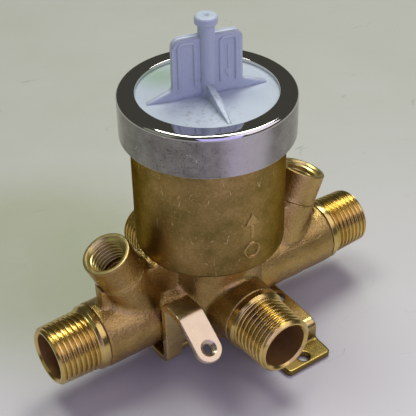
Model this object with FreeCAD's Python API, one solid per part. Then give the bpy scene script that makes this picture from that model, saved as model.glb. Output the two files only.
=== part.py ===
"""Rough-in body of a shower mixing valve, lying on its mounting bracket with the bonnet upwards.

Frame: millimetres, +Z up along the bonnet's axis, the inlets along X and the outlets along Y.
The origin is on the bonnet's axis, at the surface that the bracket's feet stand on.
Heights in the functions below are measured from the plane of the port axes; place() lifts each
finished piece from there to the height at which the feet stand on the surface.
The casting and the folded bracket are given as several plain solids that meet face to face, so that
each bore, wall and fold keeps its own simple shape.
"""
import FreeCAD
import Part
import math
import os

from FreeCAD import Rotation, Vector

# Water ports: half-inch male pipe threads with a sweat socket for half-inch copper tube inside
INLET_REACH = 65.9          # bonnet axis to the mouth of each inlet
OUTLET_REACH = 42.8         # bonnet axis to the mouth of each outlet
TUBE_BORE = 15.94           # diameter of the tube socket
SOCKET_DEPTH = 12.7
SOCKET_CHAMFER = 0.7
PIPE_THREAD = 21.34         # outside diameter of the thread at its large end
PIPE_TAPER = 1 / 16         # loss of diameter per length
THREAD_LENGTH = 14.6
THREAD_PITCH = 25.4 / 14    # 14 threads to the inch
THREAD_DEPTH = 1.2
THREAD_FLANK = 30.0         # degrees that each flank leans from square to the axis
THREAD_ROOT = 0.2           # flat at the bottom of the groove
THREAD_CLEAR = 0.08         # the groove's flanks go this far past the crests
THREAD_START = 0.7          # first groove's middle, from the foot of the slope
MOUTH_CHAMFER = 1.0
THREAD_RUNOUT = 1.1         # slope between the smooth band and the thread
BAND_DIAMETER = 22.8        # smooth turned band behind each thread
BAND_LENGTH = 2.0
CAST_DIAMETER = 23.4        # cast arms and necks
WATERWAY = 11.0             # bore behind each socket
WATERWAY_END = 9.0          # inlets stop this far from the bonnet axis

# Stop bosses: threaded sleeves that lean outwards from the two inlet arms
STOP_LEAN = 24.0            # degrees from the bonnet axis
STOP_SHARE = 0.2947         # the boss axis crosses the inlet axis at this share of the cast arm
STOP_REACH = 34.7           # from there to the mouth, along the boss axis
COLLAR_DIAMETER = 16.6
CHAMBER_LENGTH = 25.2       # inlet axis to the collar, which takes the rest of the reach
COLLAR_CHAMFER = 0.5
CHAMBER_DIAMETER = 17.4     # thicker sleeve below the collar
STOP_THREAD = 12.7
STOP_THREAD_DEPTH = 11.0
STOP_COUNTERSINK = 14.0     # width of the countersunk mouth
STOP_SEAT = 9.0             # hole from the threaded part down to the waterway
BRIDGE_WIDTH = 11.6         # web between boss and hub
BRIDGE_RISE = 0.5           # height of its turned top above the cup's base
GUSSET_WIDTH = 5.0          # web between boss and arm, on the outer side
GUSSET_SHARE = 0.59         # share of the room between boss and band that the gusset takes
GUSSET_ROUND = 1.5

# Cast fillets where the arms leave the hub and the bosses leave the arms
ARM_FILLET = 2.0
BOSS_FILLET = 2.4

# Hub under the cup
HUB_MARGIN = 12.6           # how much wider the hub is than the arms
PAD_STAND = 0.3             # the flat pad that the bracket is screwed to, below the arms
INLET_HOLE = 8.0            # holes from the waterways up through the cup's floor
INLET_HOLE_X = 14.0
OUTLET_HOLE = 9.0

# Cup for the cartridge
CUP_DIAMETER = 50.9
CUP_WALL = 3.6
CUP_BASE = 22.0             # height of its lower edge above the port axes
CUP_LENGTH = 52.2
CUP_FLOOR = 4.5
CUP_CORNER = 1.2
NECK_STEP = 0.45            # the threaded neck is this much smaller in radius
NECK_GAP = 0.8              # between the cup's shoulder and the nut
RIM_CHAMFER = 0.6

# Bonnet nut
NUT_CLEARANCE = 0.3
NUT_WALL = 3.5
NUT_HEIGHT = 14.8
NUT_LIP = 1.4               # thickness of the lip over the cap
NUT_LIP_WIDTH = 2.4
NUT_TOP_ROUND = 1.4
NUT_EDGE = 0.5
NUT_LIP_EDGE = 0.3

# Test cap and its ring
CAP_FLANGE = 2.6
CAP_FLANGE_GAP = 0.5
PLUG_GAP = 0.35
PLUG_DEPTH = 7.0
PLUG_WALL = 4.4
RING_SECTION = 2.4
RING_SQUEEZE_GAP = 0.1      # ring to cup bore
GROOVE_PLAY = 0.4
GROOVE_FLOOR_GAP = 0.05
STEM_DIAMETER = 5.3
STEM_HEIGHT = 26.9          # disc to the top of the stem's head
HEAD_DIAMETER = 7.3
HEAD_HEIGHT = 3.4
HEAD_ROUND = 0.9
DIMPLE_DIAMETER = 2.2
DIMPLE_DEPTH = 0.5
FIN_ANGLE = -15.6           # degrees from the inlet axis
FIN_HEIGHT = 20.3
FIN_HALF_SPAN = 10.9
FIN_THICKNESS = 2.0
FIN_ROUND = 2.4
RIB_HEIGHT = 3.2
RIB_REACH = 19.8
RIB_HOLLOW = 2.0            # rounding where a rib meets the fin's edge
CROSS_RIB_HEIGHT = 4.4

# Mounting bracket, folded from sheet
SHEET = 2.3
BEND_INSIDE = 1.0
FOOT_DROP = 7.4             # plate down to the feet, underside to underside
BASE_TAB_SIDE = 28.6        # plate edge on the tab's side of the bonnet axis
BASE_STRAP_SIDE = 26.0      # plate edge on the strap's side
BASE_DEPTH = 12.0
STRAP_INNER = 6.0
FOOT_OUTER = 24.8
RISER_FACE = 29.2
FOOT_FRONT = 38.0
FOOT_CORNER = 1.6
FOOT_HOLE = 4.4
FOOT_HOLE_X = 15.2
FOOT_HOLE_Y = 34.5
STRAP_HOLE = 6.0
STRAP_HOLE_X = 21.7
STRAP_HOLE_Y = 10.6
STRAP_HOLE_EDGE = 2.0       # sheet left between the hole and where the plate passes into the strap
TAB_WIDTH = 9.6
TAB_FACE = 14.1
TAB_TOP = 12.8              # height of the tab's top above the port axes
TAB_SHELF = 7.7             # front of the wall to the tongue's bend, at the top
TONGUE_SLOPE = 37.4         # degrees below level
TONGUE_REACH = 12.6         # bend to the tongue's hole, along the slope
TONGUE_BEND = 2.0
TONGUE_HOLE = 3.4
TONGUE_SINK = 5.6
TONGUE_SINK_DEPTH = 0.9
NOTCH_DIAMETER = 9.8        # round relief at the tab's root
NOTCH_X = 17.6
NOTCH_HEIGHT = 2.7          # its centre above the plate's mid-plane

# Bracket screws
SCREW_SHANK = 3.9
SCREW_HOLE_GAP = 0.1
SCREW_GRIP = 7.5            # length of thread in the hub
SCREW_TIP_GAP = 1.0
SCREW_HEAD = 7.2
SCREW_HEAD_HEIGHT = 2.3
SCREW_HEAD_ROUND = 1.2
SCREW_X = 9.5
SCREW_Y = 9.5
DRIVE_WIDTH = 1.1
DRIVE_SPAN = 4.2
DRIVE_DEPTH = 1.3

# Heights and radii that follow from the driving dimensions
HUB_DIAMETER = CAST_DIAMETER + HUB_MARGIN
PAD_DEPTH = CAST_DIAMETER / 2 + PAD_STAND
PORT_HEIGHT = FOOT_DROP + SHEET + PAD_DEPTH
CUP_RADIUS = CUP_DIAMETER / 2
BORE_RADIUS = CUP_RADIUS - CUP_WALL
NECK_RADIUS = CUP_RADIUS - NECK_STEP
CUP_RIM = CUP_BASE + CUP_LENGTH
DISC_TOP = CUP_RIM + CAP_FLANGE
NUT_TOP = DISC_TOP + NUT_LIP
NUT_BOTTOM = NUT_TOP - NUT_HEIGHT
NUT_BORE = NECK_RADIUS + NUT_CLEARANCE
NUT_RADIUS = NUT_BORE + NUT_WALL
CUP_FLOOR_TOP = CUP_BASE + CUP_FLOOR
LEAN = math.radians(STOP_LEAN)
SLOPE = math.radians(TONGUE_SLOPE)
PORT_END = THREAD_LENGTH + THREAD_RUNOUT + BAND_LENGTH
ARM_START = HUB_DIAMETER / 2
ARM_END = INLET_REACH - PORT_END
STOP_FOOT = ARM_START + STOP_SHARE * (ARM_END - ARM_START)
STOP_THREAD_END = STOP_REACH - STOP_THREAD_DEPTH
BOSS_SIDE = STOP_FOOT + CAST_DIAMETER / 2 * math.tan(LEAN) + CHAMBER_DIAMETER / 2 / math.cos(LEAN)
GUSSET_REACH = BOSS_SIDE + GUSSET_SHARE * (ARM_END - BOSS_SIDE)
STRAP_ROOT = max(BASE_DEPTH, STRAP_HOLE_Y + STRAP_HOLE / 2 + STRAP_HOLE_EDGE)
TAB_ROOT = TAB_FACE - SHEET - BEND_INSIDE
TAB_CENTRE = BASE_TAB_SIDE - TAB_WIDTH / 2
QUARTER = 90                # degrees
UP = Vector(0, 0, 1)
CENTRE = Vector(0, 0, 0)
FORWARD = Vector(0, -1, 0)
OUTWARD = Vector(1, 0, 0)
BOSS_POINT = Vector(STOP_FOOT, 0, 0)
BOSS_AXIS = Vector(math.sin(LEAN), 0, math.cos(LEAN))
OVERLAP = 1.0               # how far tools reach past the faces that they cut
FILLET_SHARES = (1, 0.8, 0.6, 0.4, 0.25)
TOUCH = 1e-4                # nearer than this counts as touching


def place(shape):
    """Lifts a finished piece from the plane of the port axes to its standing height."""
    return shape.translated(Vector(0, 0, PORT_HEIGHT))


def half_turn(shape):
    """A copy of the shape, half a turn round the bonnet axis."""
    return shape.rotated(CENTRE, UP, 180)


def rounded_outline(corners):
    """Closed wire in the XZ plane through corners (x, z, radius), each rounded by a tangent arc."""
    points = [Vector(x, 0, z) for x, z, radius in corners]
    edges = []
    entries = []
    exits = []
    middles = []
    for i, (x, z, radius) in enumerate(corners):
        here = points[i]
        to_before = (points[i - 1] - here).normalize()
        to_after = (points[(i + 1) % len(points)] - here).normalize()
        half = to_before.getAngle(to_after) / 2
        inward = to_before + to_after
        reach = radius / math.tan(half)
        entries.append(here + to_before * reach)
        exits.append(here + to_after * reach)
        if radius:
            middles.append(here + inward.normalize() * (radius / math.sin(half) - radius))
        else:
            middles.append(here)
    for i, (x, z, radius) in enumerate(corners):
        if radius:
            edges.append(Part.Arc(entries[i], middles[i], exits[i]).toShape())
        start = exits[i]
        end = entries[(i + 1) % len(points)]
        if start.distanceToPoint(end) > 1e-6:
            edges.append(Part.LineSegment(start, end).toShape())
    return Part.Wire(edges)


def turned(corners):
    """Solid of revolution about Z from a half section of corners (radius, height, rounding)."""
    return Part.Face(rounded_outline(corners)).revolve(CENTRE, UP, 360)


def cylinder(diameter, low, high, x=0.0, y=0.0):
    """Upright cylinder between two heights."""
    return Part.makeCylinder(diameter / 2, high - low, Vector(x, y, low), UP)


def box(x_low, x_high, y_low, y_high, z_low, z_high):
    """Box between two corners."""
    return Part.makeBox(x_high - x_low, y_high - y_low, z_high - z_low, Vector(x_low, y_low, z_low))


def aimed(shape, foot, direction):
    """Turns a shape made along +Z so that it points along a direction, from a foot point."""
    shape = shape.copy()
    shape.Placement = FreeCAD.Placement(foot, Rotation(UP, direction))
    return shape


def seams(whole, base, additions):
    """Edges of a fused whole along which the additions' surfaces meet the base's surface."""
    found = []
    for edge in whole.Edges:
        middle = Part.Vertex(edge.valueAt((edge.FirstParameter + edge.LastParameter) / 2))
        on_addition = any(middle.distToShape(a.Shells[0])[0] < TOUCH for a in additions)
        if on_addition and middle.distToShape(base.Shells[0])[0] < TOUCH:
            found.append(edge)
    return found


def rounded_seams(whole, radius, edges):
    """The whole with its edges rounded by the radius given, or by the largest share of it that has room."""
    for share in FILLET_SHARES:
        try:
            filleted = whole.makeFillet(radius * share, edges)
        except Part.OCCError:
            continue
        if filleted.isValid():
            return filleted
    raise ValueError("no room for a fillet of " + str(radius))


def thread_groove(reach, small):
    """Cutter of a port's thread along +Z: a V swept along a right-handed helix on the tapered pipe.

    The helix is made from the mouth, where the pipe is smallest, and then turned over."""
    taper = PIPE_TAPER / 2
    radius = small - THREAD_PITCH * taper
    helix = Part.makeHelix(THREAD_PITCH, THREAD_LENGTH - THREAD_START + THREAD_PITCH, radius,
                           math.degrees(math.atan(taper)))
    bottom = THREAD_ROOT / 2
    rise = THREAD_DEPTH + THREAD_CLEAR
    top = bottom + rise * math.tan(math.radians(THREAD_FLANK))
    floor = radius - THREAD_DEPTH
    section = [(floor, -bottom), (floor, bottom), (floor + rise, top), (radius + THREAD_DEPTH, top),
               (radius + THREAD_DEPTH, -top), (floor + rise, -top), (floor, -bottom)]
    outline = Part.makePolygon([Vector(r, 0, z) for r, z in section])
    groove = Part.Wire(helix.Edges).makePipeShell([outline], True, True)
    groove.Placement = FreeCAD.Placement(Vector(0, 0, reach + THREAD_PITCH), Rotation(OUTWARD, 2 * QUARTER))
    return groove


def port_end(reach):
    """Turned end of one port along +Z: smooth band, tapered pipe thread, tube socket and tube stop."""
    thread_start = reach - THREAD_LENGTH
    band_end = thread_start - THREAD_RUNOUT
    band_start = reach - PORT_END
    tube_stop = reach - SOCKET_DEPTH
    large = PIPE_THREAD / 2
    small = large - THREAD_LENGTH * PIPE_TAPER / 2
    blank = turned([
        (WATERWAY / 2, band_start, 0),
        (BAND_DIAMETER / 2, band_start, 0),
        (BAND_DIAMETER / 2, band_end, 0),
        (large, thread_start, 0),
        (small, reach - MOUTH_CHAMFER, 0),
        (small - MOUTH_CHAMFER, reach, 0),
        (TUBE_BORE / 2 + SOCKET_CHAMFER, reach, 0),
        (TUBE_BORE / 2, reach - SOCKET_CHAMFER, 0),
        (TUBE_BORE / 2, tube_stop, 0),
        (WATERWAY / 2, tube_stop, 0),
    ])
    return blank.cut(thread_groove(reach, small)).Solids[0]


def sleeve_outline():
    """Outside of a stop sleeve as (radius, height, rounding), with a small slope up to its wider foot."""
    step = (CHAMBER_DIAMETER - COLLAR_DIAMETER) / 2
    return [
        (CHAMBER_DIAMETER / 2, STOP_THREAD_END, 0),
        (CHAMBER_DIAMETER / 2, CHAMBER_LENGTH - step, 0),
        (COLLAR_DIAMETER / 2, CHAMBER_LENGTH, 0),
        (COLLAR_DIAMETER / 2, STOP_REACH - COLLAR_CHAMFER, 0),
        (COLLAR_DIAMETER / 2 - COLLAR_CHAMFER, STOP_REACH, 0),
    ]


def stop_sleeve():
    """Threaded mouth of a stop boss along +Z from the inlet axis, countersunk at the top."""
    sink = (STOP_COUNTERSINK - STOP_THREAD) / 2
    return turned([(STOP_THREAD / 2, STOP_THREAD_END, 0)] + sleeve_outline() + [
        (STOP_COUNTERSINK / 2, STOP_REACH, 0),
        (STOP_THREAD / 2, STOP_REACH - sink, 0),
    ])


def stop_webs():
    """Bridge from a stop boss to the hub, and gusset from the boss to the arm, on the +X side."""
    bridge_top = CUP_BASE + BRIDGE_RISE
    bridge_end = STOP_FOOT + bridge_top * math.tan(LEAN)
    bridge = box(0, bridge_end, -BRIDGE_WIDTH / 2, BRIDGE_WIDTH / 2, 0, bridge_top)
    chamber_side = STOP_FOOT + CHAMBER_DIAMETER / 2 / math.cos(LEAN)
    gusset_top = (GUSSET_REACH - chamber_side) / math.tan(LEAN)
    gusset_start = STOP_FOOT + gusset_top * math.tan(LEAN)
    gusset = box(gusset_start, GUSSET_REACH, -GUSSET_WIDTH / 2, GUSSET_WIDTH / 2, 0, gusset_top)
    outer_face = [f for f in gusset.Faces if f.BoundBox.XMin > GUSSET_REACH - TOUCH][0]
    outer_edges = [e for e in outer_face.Edges if e.BoundBox.ZLength > TOUCH]
    sleeve_blank = turned([(0, STOP_THREAD_END, 0)] + sleeve_outline() + [(0, STOP_REACH, 0)])
    sleeve = aimed(sleeve_blank, BOSS_POINT, BOSS_AXIS)
    gusset = gusset.makeFillet(GUSSET_ROUND, outer_edges)
    return [bridge.cut(sleeve), gusset.cut(sleeve)]


def casting_blank():
    """Solid outside of the casting below the cup: hub, arms, boss chambers and webs, with their fillets."""
    arms = [aimed(cylinder(CAST_DIAMETER, 0, ARM_END), CENTRE, OUTWARD),
            aimed(cylinder(CAST_DIAMETER, 0, OUTLET_REACH - PORT_END), CENTRE, FORWARD)]
    arms += [half_turn(s) for s in arms]
    # The hub's own seam line goes half way between two ports, clear of the corners to be rounded
    hub = cylinder(HUB_DIAMETER, -PAD_DEPTH, CUP_BASE + OVERLAP).rotated(CENTRE, UP, QUARTER / 2)
    whole = hub.fuse(arms).removeSplitter()
    crossing = rounded_seams(whole, ARM_FILLET, seams(whole, hub, arms))

    chambers = [aimed(cylinder(CHAMBER_DIAMETER, 0, STOP_THREAD_END), BOSS_POINT, BOSS_AXIS)]
    chambers.append(half_turn(chambers[0]))
    whole = crossing.fuse(chambers)
    with_chambers = rounded_seams(whole, BOSS_FILLET, seams(whole, crossing, chambers))

    webs = stop_webs()
    webs += [half_turn(s) for s in webs]
    base = turned([(0, CUP_BASE, 0), (CUP_RADIUS, CUP_BASE, CUP_CORNER), (CUP_RADIUS, CUP_FLOOR_TOP, 0),
                   (0, CUP_FLOOR_TOP, 0)])
    return with_chambers.fuse(webs + [base])


def valve_hub():
    """Casting below the cup's walls: hub, arms, boss chambers and cup floor, with the water passages."""
    cuts = [cylinder(OUTLET_HOLE, 0, CUP_FLOOR_TOP + OVERLAP)]
    screw_hole = SCREW_SHANK + 2 * SCREW_HOLE_GAP
    screw_hole_top = SCREW_GRIP + SCREW_TIP_GAP - PAD_DEPTH
    half = [
        aimed(cylinder(WATERWAY, WATERWAY_END, INLET_REACH), CENTRE, OUTWARD),
        aimed(cylinder(WATERWAY, -OVERLAP, OUTLET_REACH), CENTRE, FORWARD),
        aimed(cylinder(STOP_SEAT, 0, STOP_REACH), BOSS_POINT, BOSS_AXIS),
        cylinder(INLET_HOLE, 0, CUP_FLOOR_TOP + OVERLAP, INLET_HOLE_X),
        cylinder(screw_hole, -PAD_DEPTH - OVERLAP, screw_hole_top, SCREW_X, SCREW_Y),
    ]
    return casting_blank().cut(cuts + half + [half_turn(s) for s in half])


def valve_cup():
    """Walls of the cup above its floor, with the smaller threaded neck that the bonnet nut screws on."""
    shoulder = NUT_BOTTOM - NECK_GAP
    return turned([
        (BORE_RADIUS, CUP_FLOOR_TOP, 0),
        (CUP_RADIUS, CUP_FLOOR_TOP, 0),
        (CUP_RADIUS, shoulder, 0),
        (NECK_RADIUS, shoulder, 0),
        (NECK_RADIUS, CUP_RIM - RIM_CHAMFER, 0),
        (NECK_RADIUS - RIM_CHAMFER, CUP_RIM, 0),
        (BORE_RADIUS, CUP_RIM, 0),
    ])


def bonnet_nut():
    """Ring nut with a lip that holds the cap down."""
    opening = NUT_BORE - NUT_LIP_WIDTH
    return turned([
        (NUT_BORE + NUT_EDGE, NUT_BOTTOM, 0),
        (NUT_RADIUS, NUT_BOTTOM, NUT_EDGE),
        (NUT_RADIUS, NUT_TOP, NUT_TOP_ROUND),
        (opening, NUT_TOP, NUT_LIP_EDGE),
        (opening, DISC_TOP, 0),
        (NUT_BORE, DISC_TOP, 0),
        (NUT_BORE, NUT_BOTTOM + NUT_EDGE, 0),
    ])


def ring_radius():
    """Radius of the circle at the middle of the O-ring's section."""
    return BORE_RADIUS - RING_SQUEEZE_GAP - RING_SECTION / 2


def ring_height():
    """Height of the O-ring's middle, half way down the plug."""
    return CUP_RIM - PLUG_DEPTH / 2


def cap_o_ring():
    """O-ring in the plug's groove."""
    return Part.makeTorus(ring_radius(), RING_SECTION / 2, Vector(0, 0, ring_height()), UP)


def test_cap():
    """Moulded cap: flange and grooved plug, stem with a button head, two tall fins and low ribs."""
    flange = NUT_BORE - CAP_FLANGE_GAP
    plug = BORE_RADIUS - PLUG_GAP
    plug_bottom = CUP_RIM - PLUG_DEPTH
    groove_floor = ring_radius() - RING_SECTION / 2 - GROOVE_FLOOR_GAP
    groove_top = ring_height() + (RING_SECTION + GROOVE_PLAY) / 2
    groove_bottom = ring_height() - (RING_SECTION + GROOVE_PLAY) / 2
    disc = turned([
        (0, DISC_TOP, 0),
        (flange, DISC_TOP, 0),
        (flange, CUP_RIM, 0),
        (plug, CUP_RIM, 0),
        (plug, groove_top, 0),
        (groove_floor, groove_top, 0),
        (groove_floor, groove_bottom, 0),
        (plug, groove_bottom, 0),
        (plug, plug_bottom, 0),
        (plug - PLUG_WALL, plug_bottom, 0),
        (plug - PLUG_WALL, CUP_RIM, 0),
        (0, CUP_RIM, 0),
    ])
    stem_top = DISC_TOP + STEM_HEIGHT
    head_bottom = stem_top - HEAD_HEIGHT
    flare = (HEAD_DIAMETER - STEM_DIAMETER) / 2
    root = DISC_TOP - CAP_FLANGE / 2
    stem = turned([
        (0, root, 0),
        (STEM_DIAMETER / 2, root, 0),
        (STEM_DIAMETER / 2, head_bottom, 0),
        (HEAD_DIAMETER / 2, head_bottom + flare, 0),
        (HEAD_DIAMETER / 2, stem_top, HEAD_ROUND),
        (DIMPLE_DIAMETER / 2, stem_top, 0),
        (0, stem_top - DIMPLE_DEPTH, 0),
    ])
    shoulder = DISC_TOP + RIB_HEIGHT
    fin_top = DISC_TOP + FIN_HEIGHT
    fins = rounded_outline([
        (-RIB_REACH, root, 0),
        (RIB_REACH, root, 0),
        (RIB_REACH, DISC_TOP, 0),
        (FIN_HALF_SPAN, shoulder, RIB_HOLLOW),
        (FIN_HALF_SPAN, fin_top, FIN_ROUND),
        (-FIN_HALF_SPAN, fin_top, FIN_ROUND),
        (-FIN_HALF_SPAN, shoulder, RIB_HOLLOW),
        (-RIB_REACH, DISC_TOP, 0),
    ])
    cross_ribs = rounded_outline([
        (-RIB_REACH, root, 0),
        (RIB_REACH, root, 0),
        (RIB_REACH, DISC_TOP, 0),
        (0, DISC_TOP + CROSS_RIB_HEIGHT, 0),
        (-RIB_REACH, DISC_TOP, 0),
    ])
    plates = []
    for outline, turn in ((fins, FIN_ANGLE), (cross_ribs, FIN_ANGLE + QUARTER)):
        plate = Part.Face(outline).extrude(Vector(0, FIN_THICKNESS, 0))
        plate.translate(Vector(0, -FIN_THICKNESS / 2, 0))
        plates.append(plate.rotated(CENTRE, UP, turn))
    return disc.fuse([stem] + plates).removeSplitter()


def folded_sheet(path, x_low, x_high):
    """Sheet folded along a path and as wide as x_low to x_high.

    The path's points are (run, height, inside bend radius) of the sheet's mid-plane, run being the distance
    in front of the bonnet axis. Each side of the sheet is the path moved by half the sheet's thickness.
    """
    steps = []
    for (run, height, bend), (next_run, next_height, next_bend) in zip(path, path[1:]):
        length = math.hypot(next_run - run, next_height - height)
        steps.append(((next_run - run) / length, (next_height - height) / length))
    upper = []
    lower = []
    for i, (run, height, bend) in enumerate(path):
        back_x, back_z = steps[max(i - 1, 0)]
        ahead_x, ahead_z = steps[min(i, len(steps) - 1)]
        share = SHEET / 2 / (1 + back_x * ahead_x + back_z * ahead_z)
        across_x = -(back_z + ahead_z) * share
        across_z = (back_x + ahead_x) * share
        bends_up = back_x * ahead_z - back_z * ahead_x > 0
        outside = bend + SHEET if bend else 0
        upper.append((run + across_x, height + across_z, bend if bends_up else outside))
        lower.append((run - across_x, height - across_z, outside if bends_up else bend))
    strip = Part.Face(rounded_outline(upper + lower[::-1])).extrude(Vector(0, x_high - x_low, 0))
    strip.translate(Vector(0, x_low, 0))
    return strip.rotated(CENTRE, UP, -QUARTER)


def upright_prism(corners, low, high):
    """Prism between two heights over a plan outline of corners (x, y, rounding)."""
    face = Part.Face(rounded_outline(corners)).rotated(CENTRE, OUTWARD, -QUARTER)
    face.translate(Vector(0, 0, low))
    return face.extrude(Vector(0, 0, high - low))


def strap():
    """Front strap: from the plate forwards, down a riser and out to a foot with its hole."""
    plate = -PAD_DEPTH - SHEET / 2
    foot = plate - FOOT_DROP
    riser = RISER_FACE - SHEET / 2
    sheet = folded_sheet(
        [(STRAP_ROOT, plate, 0), (riser, plate, BEND_INSIDE), (riser, foot, BEND_INSIDE),
         (FOOT_FRONT, foot, 0)], STRAP_INNER, BASE_STRAP_SIDE)
    outline = upright_prism([
        (STRAP_INNER, -FOOT_FRONT, FOOT_CORNER),
        (FOOT_OUTER, -FOOT_FRONT, FOOT_CORNER),
        (BASE_STRAP_SIDE, -STRAP_ROOT, 0),
        (STRAP_INNER, -STRAP_ROOT, 0),
    ], foot - SHEET, plate + SHEET)
    foot_hole = cylinder(FOOT_HOLE, foot - SHEET, foot + SHEET, FOOT_HOLE_X, -FOOT_HOLE_Y)
    return sheet.common(outline).cut(foot_hole)


def notch():
    """Round cutter of the relief at the tab's root."""
    wall = TAB_FACE - SHEET / 2
    foot = Vector(-NOTCH_X, -wall - SHEET, NOTCH_HEIGHT - PAD_DEPTH - SHEET / 2)
    return Part.makeCylinder(NOTCH_DIAMETER / 2, 2 * SHEET, foot, -FORWARD)


def tongue_bend():
    """Where the shelf's mid-plane meets the tongue's, as (distance in front of the bonnet axis, height)."""
    return TAB_FACE + TAB_SHELF - SHEET / 2 * math.tan(SLOPE / 2), TAB_TOP - SHEET / 2


def tongue_start():
    """Length along the tongue from the middle of its bend to where it is flat."""
    return (TONGUE_BEND + SHEET / 2) * math.tan(SLOPE / 2)


def tab():
    """Front tab: up beside the inlet arm, over a short shelf and round the bend to the tongue."""
    plate = -PAD_DEPTH - SHEET / 2
    wall = TAB_FACE - SHEET / 2
    bend, shelf = tongue_bend()
    end_run = bend + tongue_start() * math.cos(SLOPE)
    end_height = shelf - tongue_start() * math.sin(SLOPE)
    sheet = folded_sheet(
        [(TAB_ROOT, plate, 0), (wall, plate, BEND_INSIDE), (wall, shelf, BEND_INSIDE),
         (bend, shelf, TONGUE_BEND), (end_run, end_height, 0)], -BASE_TAB_SIDE, TAB_WIDTH - BASE_TAB_SIDE)
    return sheet.cut(notch())


def tongue():
    """Flat sloping tongue of the front tab, with a round end and a countersunk hole."""
    bend, shelf = tongue_bend()
    hole_run = bend + TONGUE_REACH * math.cos(SLOPE)
    hole_height = shelf - TONGUE_REACH * math.sin(SLOPE)
    half = TAB_WIDTH / 2
    flat = box(tongue_start() - TONGUE_REACH, 0, -half, half, -SHEET / 2, SHEET / 2)
    end = cylinder(TAB_WIDTH, -SHEET / 2, SHEET / 2)
    hole = cylinder(TONGUE_HOLE, -SHEET, SHEET)
    sink = Part.makeCone(TONGUE_HOLE / 2, TONGUE_SINK / 2, TONGUE_SINK_DEPTH,
                         Vector(0, 0, SHEET / 2 - TONGUE_SINK_DEPTH), UP)
    plate = flat.fuse(end).removeSplitter().cut([hole, sink])
    along = Vector(0, -math.cos(SLOPE), -math.sin(SLOPE))
    normal = Vector(0, -math.sin(SLOPE), math.cos(SLOPE))
    plate.Placement = FreeCAD.Placement(Vector(-TAB_CENTRE, -hole_run, hole_height),
                                        Rotation(along, normal.cross(along), normal, "ZXY"))
    return plate


def bracket_plate():
    """Flat plate under the hub, with its screw holes and the strap holes."""
    low = -PAD_DEPTH - SHEET
    tab_side = BASE_TAB_SIDE - TAB_WIDTH
    plate = upright_prism([
        (-BASE_TAB_SIDE, -TAB_ROOT, 0),
        (-tab_side, -TAB_ROOT, 0),
        (-tab_side, -BASE_DEPTH, 0),
        (STRAP_INNER, -BASE_DEPTH, 0),
        (STRAP_INNER, -STRAP_ROOT, 0),
        (BASE_STRAP_SIDE, -STRAP_ROOT, 0),
        (BASE_STRAP_SIDE, 0, 0),
        (BASE_TAB_SIDE, 0, 0),
        (BASE_TAB_SIDE, TAB_ROOT, 0),
        (tab_side, TAB_ROOT, 0),
        (tab_side, BASE_DEPTH, 0),
        (-STRAP_INNER, BASE_DEPTH, 0),
        (-STRAP_INNER, STRAP_ROOT, 0),
        (-BASE_STRAP_SIDE, STRAP_ROOT, 0),
        (-BASE_STRAP_SIDE, 0, 0),
        (-BASE_TAB_SIDE, 0, 0),
    ], low, -PAD_DEPTH)
    cuts = [
        notch(),
        cylinder(STRAP_HOLE, low - OVERLAP, OVERLAP - PAD_DEPTH, STRAP_HOLE_X, -STRAP_HOLE_Y),
        cylinder(SCREW_SHANK + 4 * SCREW_HOLE_GAP, low - OVERLAP, OVERLAP - PAD_DEPTH, SCREW_X, SCREW_Y),
    ]
    return plate.cut(cuts + [half_turn(c) for c in cuts])


def bracket_screws():
    """Two pan-head screws up through the plate into the hub, with cross recesses in their heads."""
    seat = -PAD_DEPTH - SHEET
    head = seat - SCREW_HEAD_HEIGHT
    tip = SCREW_GRIP - PAD_DEPTH
    screw = turned([
        (0, head, 0),
        (SCREW_HEAD / 2, head, SCREW_HEAD_ROUND),
        (SCREW_HEAD / 2, seat, 0),
        (SCREW_SHANK / 2, seat, 0),
        (SCREW_SHANK / 2, tip - SCREW_SHANK / 4, 0),
        (SCREW_SHANK / 4, tip, 0),
        (0, tip, 0),
    ])
    slot = box(-DRIVE_SPAN / 2, DRIVE_SPAN / 2, -DRIVE_WIDTH / 2, DRIVE_WIDTH / 2,
               head - OVERLAP, head + DRIVE_DEPTH)
    cross = slot.rotated(CENTRE, UP, QUARTER)
    screw = screw.cut([slot, cross]).translated(Vector(SCREW_X, SCREW_Y, 0))
    return Part.makeCompound([screw, half_turn(screw)])


def inlet_end():
    """Turned end of the right inlet."""
    return aimed(port_end(INLET_REACH), CENTRE, OUTWARD)


def outlet_end():
    """Turned end of the front outlet."""
    return aimed(port_end(OUTLET_REACH), CENTRE, FORWARD)


def stop_collar():
    """Sleeve of the right stop boss."""
    return aimed(stop_sleeve(), BOSS_POINT, BOSS_AXIS)


SINGLES = {
    "valve_hub": valve_hub,
    "valve_cup": valve_cup,
    "bonnet_nut": bonnet_nut,
    "test_cap": test_cap,
    "cap_o_ring": cap_o_ring,
    "bracket_plate": bracket_plate,
    "bracket_screws": bracket_screws,
}
# Names of each piece that is there twice, the second one half a turn from the first
PAIRS = {
    ("right_inlet_end", "left_inlet_end"): inlet_end,
    ("front_outlet_end", "rear_outlet_end"): outlet_end,
    ("right_stop_sleeve", "left_stop_sleeve"): stop_collar,
    ("front_strap", "rear_strap"): strap,
    ("front_tab", "rear_tab"): tab,
    ("front_tongue", "rear_tongue"): tongue,
}

pieces = {name: make() for name, make in SINGLES.items()}
for (first, second), make in PAIRS.items():
    pieces[first] = make()
    pieces[second] = half_turn(pieces[first])

os.makedirs("parts", exist_ok=True)
for name, shape in pieces.items():
    piece = place(shape)
    piece.exportStep("parts/" + name + ".step")
    size = piece.optimalBoundingBox(False)
    print(name, len(piece.Solids), "solid(s), valid", piece.isValid(), "volume", round(piece.Volume),
          "x", round(size.XMin, 2), round(size.XMax, 2), "y", round(size.YMin, 2), round(size.YMax, 2),
          "z", round(size.ZMin, 2), round(size.ZMax, 2))
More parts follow.
